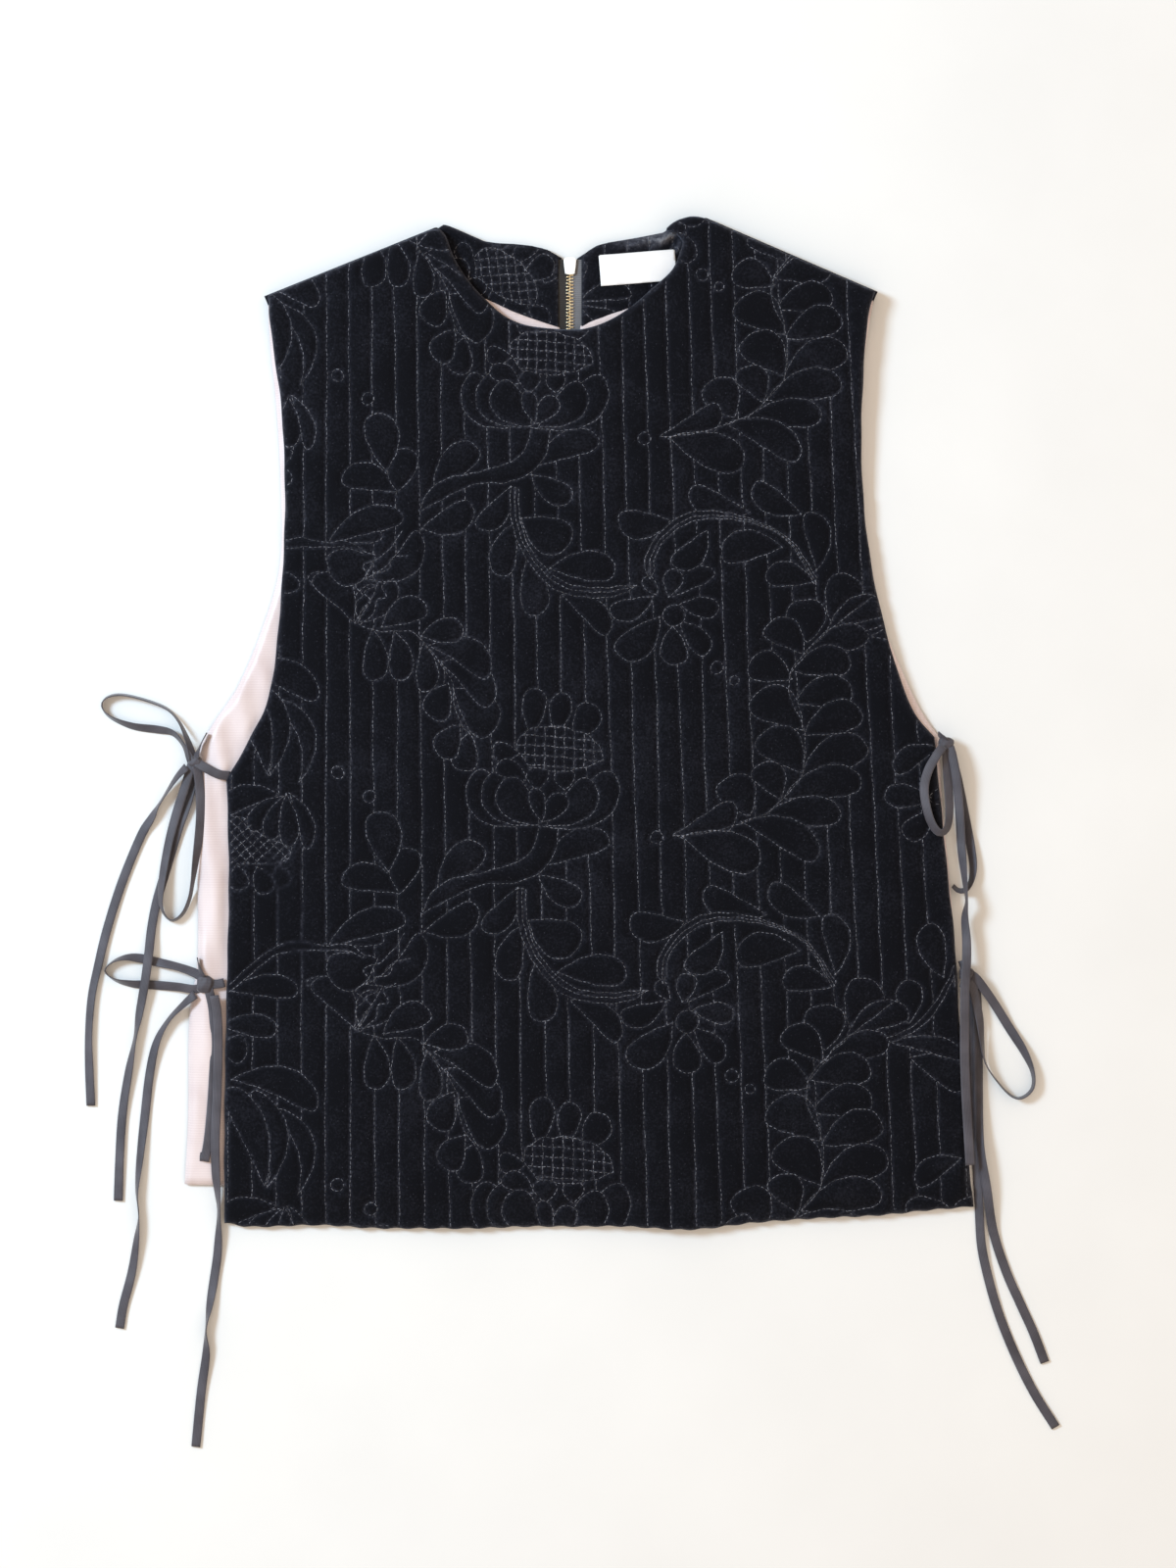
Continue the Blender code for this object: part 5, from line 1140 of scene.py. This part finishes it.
# ==== The zip ====
# A brass zip closes the centre back, sewn in with its chain closed: two twill tapes, the two rows of teeth,
# and the slider at the neck. The slider's pull hangs on the outer side, under the garment as it lies.

TAPE_WIDTH, TAPE_START, TAPE_END = 8.4, 94, 292
TOOTH_PITCH, TEETH_A_SIDE, TEETH_HALF = 2.05, 92, 2.55
TAPE_BOTTOM, CHAIN_BOTTOM, CHAIN_TOP = 2.9, 2.5, 4.3
PULL_Y, PULL_Z = 288.0, 0.85

# The two tapes are one grey twill: the left tape's dark tones are painted shade, where the left facing's edge
# shades it; the right tape's tones are the twill's own.
TAPE_TONES_LIT_AND_PAINTED_SHADE = {"left": ((0.034, 0.031, 0.030), (0.014, 0.013, 0.013)),
              "right": ((0.19, 0.186, 0.198), (0.065, 0.063, 0.069))}

BRASS, nodes, link, shader = new_material("brass", Metallic=1.0)
place = nodes.new("ShaderNodeTexCoord")
rubbed = set_inputs(nodes.new("ShaderNodeTexNoise"), Scale=260, Detail=4)
tones = ramp(nodes, (0.3, (0.90, 0.70, 0.40)), (0.7, (1.0, 0.90, 0.66)))
dulled = ramp(nodes, (0.35, (0.28, 0.28, 0.28)), (0.75, (0.45, 0.45, 0.45)))
wire(link, (place, "Object", rubbed, "Vector"), (rubbed, "Fac", tones, "Fac"), (rubbed, "Fac", dulled, "Fac"),
     (tones, "Color", shader, "Base Color"), (dulled, "Color", shader, "Roughness"))

for word, side in (("left", -1), ("right", 1)):
    low, high = sorted((ZIP_X + side * 0.15, ZIP_X + side * (TEETH_HALF + TAPE_WIDTH)))
    corners = [(low, TAPE_START), (high, TAPE_START), (high, TAPE_END), (low, TAPE_END), (low, TAPE_START)]
    points, faces = cut(outline(*straight(corners), spacing=4.0), step=1.4)
    from_chain = (np.abs(points[:, 0] - ZIP_X) - TEETH_HALF) / 4.8
    rise = 0.10 * np.sin(points[:, 1] / 6) + 0.85 * np.clip(from_chain, 0, 1) - 0.45
    strip = shell("zip_tape_of_twill_" + word, faces, np.column_stack([points, TAPE_BOTTOM + 0.8 + rise]),
                  np.column_stack([points, TAPE_BOTTOM + 0.25 + rise]),
                  woven("zip_tape_twill_" + word, *TAPE_TONES_LIT_AND_PAINTED_SHADE[word], along=0.0011, across=0.0013,
                        twill=-side, depth=0.0002, roughness=0.7))
    worn(strip, "zip_tape_" + word)


def metal(name, parts, material, bevel=0.14):
    """One piece of metal plates and posts: (outline, low, high) in millimetres, with softened edges."""
    shape = bmesh.new()
    for points, low, high in parts:
        face = shape.faces.new([shape.verts.new((x * MM, y * MM, low * MM)) for x, y in points])
        lifted = bmesh.ops.extrude_face_region(shape, geom=[face])["geom"]
        for vert in [item for item in lifted if isinstance(item, bmesh.types.BMVert)]:
            vert.co.z = high * MM
    bmesh.ops.recalc_face_normals(shape, faces=shape.faces)
    sharp = [edge for edge in shape.edges if edge.calc_face_angle(0) > 0.6]
    bmesh.ops.bevel(shape, geom=sharp, offset=bevel * MM, segments=2, affect="EDGES", profile=0.5)
    mesh = bpy.data.meshes.new(name)
    shape.to_mesh(mesh)
    shape.free()
    return finished(name, mesh, material, False)


# Repeats a piece along a straight row.
TEETH, nodes, link, start, end = new_group(
    "row_of_teeth", "GeometryNodeTree",
    [("Geometry", "Geometry"), ("Count", "Int"), ("Step", "Vector"), ("Metal", "Material")],
    [("Geometry", "Geometry")])
row = nodes.new("GeometryNodeMeshLine")
placed = nodes.new("GeometryNodeInstanceOnPoints")
real = nodes.new("GeometryNodeRealizeInstances")
cast = nodes.new("GeometryNodeSetMaterial")
wire(link, (start, "Count", row, "Count"), (start, "Step", row, "Offset"), (row, "Mesh", placed, "Points"),
     (start, "Geometry", placed, "Instance"), (placed, "Instances", real, "Geometry"),
     (real, "Geometry", cast, "Geometry"), (start, "Metal", cast, "Material"),
     (cast, "Geometry", end, "Geometry"))

# A tooth's outline from above, from its hooked nose at the middle of the chain to its foot on the tape.
TOOTH = [(-0.45, -0.25), (-0.45, 0.25), (0.3, 0.42), (0.9, 0.34), (2.2, 0.34), (2.2, -0.34), (0.9, -0.34),
         (0.3, -0.42)]

for word, side in (("left", -1), ("right", 1)):
    first = ZIP_END + 0.6 + (side > 0) * TOOTH_PITCH / 2
    across = [(ZIP_X + side * x, first + y) for x, y in TOOTH]
    tooth = metal("zip_teeth_" + word, [(across, CHAIN_BOTTOM, CHAIN_TOP)], BRASS, bevel=0.12)
    made_plain(tooth, TEETH, {"Count": TEETH_A_SIDE, "Step": (0, TOOTH_PITCH * MM, 0), "Metal": BRASS})
    worn(tooth, "zip_chain")

# The slider's polished brass is painted near white: a painted reflection of the bright window, not the
# brass's own colour.
PLATE = new_material("brass_with_painted_reflection", Base_Color=(0.99, 0.97, 0.94, 1), Roughness=0.62, Metallic=1.0)[0]

shield = [(-3, -10.4), (-1.5, -10.8), (1.5, -10.8), (3, -10.4), (3.6, -6), (4, -1.8), (3.4, -0.5), (2.2, 0),
          (-2.2, 0), (-3.4, -0.5), (-4, -1.8), (-3.6, -6)]
shield = [(ZIP_X + x, ZIP_TOP + y + 0.3) for x, y in shield]
post = [(ZIP_X + x, ZIP_TOP - 2.6 + y) for x, y in ((-1.2, -1.6), (1.2, -1.6), (1.2, 1.6), (-1.2, 1.6))]
ear = [(-0.4, -0.6), (0.4, -0.6), (0.4, 0.6), (-0.4, 0.6)]
ears = [[(ZIP_X + side * 2.1 + x, PULL_Y + y) for x, y in ear] for side in (-1, 1)]
slider = metal("zip_slider_of_brass", [(shield, 4.6, 5.4), (post, 2.1, 4.7), (shield, 1.6, 2.2)]
               + [(ear, 0.25, 1.7) for ear in ears], PLATE, bevel=0.18)
worn(slider, "zip_slider")

tab = [(-1.2, 0.45), (-1.2, -2), (-2.2, -3.4), (-2.2, -20.5), (-1.2, -22), (1.2, -22), (2.2, -20.5),
       (2.2, -3.4), (1.2, -2), (1.2, 0.45)]
pull = metal("zip_pull_of_brass", [([(ZIP_X + x, PULL_Y + y) for x, y in tab], PULL_Z - 0.45, PULL_Z + 0.45)],
             BRASS, bevel=0.2)
worn(pull, "zip_pull", "pull")

# ==== The label ====
# A bare white woven label, sewn flat to the right facing. It lies a little turned, with its right end under
# the front's neckline.

LABEL_CENTRE, LABEL_SIZE, LABEL_TURN, LABEL_BOTTOM = np.array((37.2, 286.4)), (48.0, 19.5), 4.5, 7.0

LABEL_CLOTH = woven("label_cloth", (0.93, 0.92, 0.92), (0.82, 0.81, 0.83), along=0.0004, across=0.0005,
                    twill=0.0, depth=0.00005, roughness=0.45)
turn = math.radians(LABEL_TURN)
across, up = np.array((math.cos(turn), math.sin(turn))), np.array((-math.sin(turn), math.cos(turn)))
corners = [LABEL_CENTRE + across * u * LABEL_SIZE[0] / 2 + up * v * LABEL_SIZE[1] / 2
           for u, v in ((-1, -1), (1, -1), (1, 1), (-1, 1), (-1, -1))]
loop = outline(*straight(corners), spacing=4.0)
points, faces = cut(loop, step=1.2)
along = (points - LABEL_CENTRE) @ across
rise = 0.18 * np.sin(along / 5.5) + 0.1 * np.sin(points[:, 1] / 3)
label = shell("label_of_white_tape", faces, np.column_stack([points, LABEL_BOTTOM + 0.75 + rise]),
              np.column_stack([points, LABEL_BOTTOM + 0.3 + rise]), LABEL_CLOTH)
worn(label, "label")

# ==== The front ====
# One piece of the quilted velvet over a pink satin lining, its edges turned in soft and thick. It lies over
# the back, drops to the board past the back's hem, and is held to it only at the shoulder seams and by the
# ties.

FRONT_BOTTOM, FRONT_WALL, FRONT_PUFF, FRONT_STEP = 6.8, 1.8, 2.0, 1.7
SHOULDER_RISE, RISE_FLAT, RISE_REACH, DROP_REACH = 4.0, 15.0, 150.0, 22.0
SHOULDER_LAP, SHOULDER_DROP, LIP_HEIGHT, EDGE_ROUNDING, EDGE_TURNING = 4.9, 4.2, 0.7, 3.2, 3.0
LINING_SHORT, LINING_END, FRONT_LINING_STEP = 2.4, -308.3, 6.0
HEM_LINE, WAVY_BELOW, HEM_WAVE, CORNER_REACH, CORNER_PASSES = -294, -295, 0.45, 11, 8

BACK_OUTLINE = outline(BACK_LEFT_ARMHOLE, BACK_LEFT_SIDE, BACK_HEM, BACK_RIGHT_SIDE, BACK_RIGHT_ARMHOLE,
                       [BACK_RIGHT_ARMHOLE[-1], BACK_RIGHT_NECK[-1]], BACK_RIGHT_NECK[::-1],
                       [BACK_RIGHT_NECK[0], BACK_LEFT_NECK[-1]], BACK_LEFT_NECK[::-1],
                       [BACK_LEFT_NECK[0], BACK_LEFT_ARMHOLE[0]])

# Soft folds of the front as it was laid down: x and y of the middle, length, width, height, heading from +Y.
FRONT_FOLDS = [(-205, -30, 120, 16, 1.3, 28), (-190, -95, 110, 14, -0.9, 12), (-212, -150, 120, 12, 1.0, 2),
               (-150, -262, 130, 18, 0.9, 20), (-60, -292, 120, 16, 0.8, -12), (60, -285, 110, 20, 0.8, 10),
               (170, -265, 120, 17, 1.1, -18), (222, -190, 130, 12, 1.0, 4), (205, -60, 120, 14, 1.1, -14),
               (165, 60, 130, 15, 0.8, -8), (150, 190, 120, 16, 0.9, -4), (95, 262, 90, 14, 1.0, 38),
               (-100, 262, 90, 14, 0.9, -36), (-165, 190, 130, 15, 0.8, 6), (-168, 80, 120, 14, 0.9, 2),
               (-10, 180, 150, 30, 0.6, 84), (20, 20, 180, 34, 0.5, 70), (-40, -150, 180, 32, 0.5, 100)]

# Where the stiff hem curls up off the board: x of the middle, half of its length, and height.
HEM_CURLS = [(65, 62, 5.5), (-75, 48, 3.4), (-185, 40, 2.4), (190, 50, 1.6)]


def front_bottom(points):
    """Height of the front's underside: up over the shoulders, down to the surface past the back's edges, and
    up again a little where the hem curls."""
    short = np.minimum(*[-shoulder.past(points) for shoulder in SHOULDERS])
    rise = SHOULDER_RISE * (1 - eased((short - RISE_FLAT) / (RISE_REACH - RISE_FLAT)))
    bent = SHOULDER_DROP * np.clip(1 - short / 6, 0, 1)**2
    beyond = np.where(inside(points, BACK_OUTLINE) | (short < 15), 0, nearest_on(points, BACK_OUTLINE)[0])
    dropped = eased((beyond - 1) / (DROP_REACH - 1))
    curl = 1.6 + sum(height * np.exp(-((points[:, 0] - x) / length)**2) for x, length, height in HEM_CURLS)
    raised = curl * dropped * eased((HEM_LINE - points[:, 1]) / 16)
    return (FRONT_BOTTOM + rise - bent) * (1 - dropped) + raised


def front_folds(points):
    """Height of the front's soft folds and ripples above its flat."""
    return ridges(points, FRONT_FOLDS) + 0.25 * np.sin(points[:, 0] / 23 + 1.7 * np.sin(points[:, 1] / 61))


def front_base(points):
    """Height of the stitched rows on the front."""
    return front_bottom(points) + FRONT_WALL + front_folds(points)


# The velvet rolls over the collar at the right corner of the neck.
ROLLED_CORNER = [(73.6, 315.8), (69.6, 319.4), (64.5, 317.4), (59.6, 314.9), (55.2, 311), (54.6, 309),
                 (59, 307.6), (63.4, 304.8), (65.3, 300.5)]

edge = outline(ROLLED_CORNER, FRONT_NECKLINE[-2::-1], [FRONT_NECKLINE[0], FRONT_LEFT_ARMHOLE[0]],
               FRONT_LEFT_ARMHOLE, FRONT_LEFT_SIDE, FRONT_HEM, FRONT_RIGHT_SIDE, FRONT_RIGHT_ARMHOLE,
               [FRONT_RIGHT_ARMHOLE[-1], FRONT_NECKLINE[-1]], spacing=2.5)
for shoulder in SHOULDERS:
    lapped = eased((shoulder.past(edge) + 9) / 4) * eased(shoulder.along(edge) / 3 + 1.2)
    edge += np.outer(SHOULDER_LAP * lapped, shoulder.normal)
    near_neck = np.linalg.norm(edge - shoulder.point, axis=1) < CORNER_REACH
    for _ in range(CORNER_PASSES):
        softer = (np.roll(edge, 1, axis=0) + 2 * edge + np.roll(edge, -1, axis=0)) / 4
        edge[near_neck] = softer[near_neck]
hem_wave = HEM_WAVE * (1 + np.sin(edge[:, 0] / CHANNEL_PITCH * 2 * math.pi))
hem_wave = np.where(edge[:, 1] < WAVY_BELOW, hem_wave, 0.25)
edge = moved_in(edge, hem_wave + 0.2 * (1 + np.sin((edge[:, 0] + 2 * edge[:, 1]) / 11)))
pattern, channels = quilting(edge, margin=2.0, cloth=FRONT_CLOTH)
points, faces = cut(edge, FRONT_STEP)
reach, _ = nearest_on(points, edge)
from_row = reach_from(tree_of(pattern + channels), points)
bottom = front_bottom(points)
top = front_base(points) + puffed(from_row, FRONT_PUFF)
lip = bottom + LIP_HEIGHT
rounded = np.sqrt(1 - (1 - np.clip(reach / EDGE_ROUNDING, 0, 1))**2)
top = lip + (np.maximum(top, lip + 1.2) - lip) * rounded

rim = rim_edges(faces)
border = np.unique(rim)
held = np.isin(faces, border)
pulled = np.zeros((len(points), 3))
for corner in range(4):
    for other in range(4):
        pairs = held[:, corner] & ~held[:, other]
        np.add.at(pulled, faces[pairs, corner],
                  np.column_stack([points[faces[pairs, other]] - points[faces[pairs, corner]],
                                   np.ones(pairs.sum())]))
inward = pulled[border, :2] / np.maximum(np.linalg.norm(pulled[border, :2], axis=1), 1e-6)[:, None]
turned_in = points[border] + inward * EDGE_TURNING
under = {int(old): len(points) + new for new, old in enumerate(border)}
hem_faces = [(int(b), int(a), under[int(a)], under[int(b)]) for a, b in rim]
upper, lower = np.column_stack([points, top]), np.column_stack([turned_in, bottom[border] + 0.1])
front = link_mesh("front_of_quilted_velvet", np.vstack([upper, lower]) * MM,
                  [tuple(face) for face in faces] + hem_faces, VELVET)
# Paler along the stitching and round the edges: pressed pile with painted sheen and painted highlight.
set_values(front, "seam", np.concatenate([np.exp(-(from_row / 0.9)**2), np.zeros(len(border))]))
set_values(front, "rim", np.concatenate([np.exp(-(reach / 2.6)**2), np.ones(len(border))]))
worn(front, "front_panel")

for name, rows, seed in (("flowers", pattern, 11), ("channels", channels, 12)):
    stitched("front_stitches_of_the_" + name, rows, lambda row: front_base(row) + THREAD_LIFT,
             FRONT_STITCH_PITCH, seed)

loop = moved_in(FRONT_OUTLINE, LINING_SHORT)
loop[:, 1] = np.maximum(loop[:, 1], LINING_END)
points, faces = cut(loop, FRONT_LINING_STEP)
lining = shell("front_lining_of_satin", faces, np.column_stack([points, front_bottom(points) - GAP]),
               np.column_stack([points, np.maximum(front_bottom(points) - GAP - LINING_WALL, 0.15)]), SATIN)
worn(lining, "front_lining")
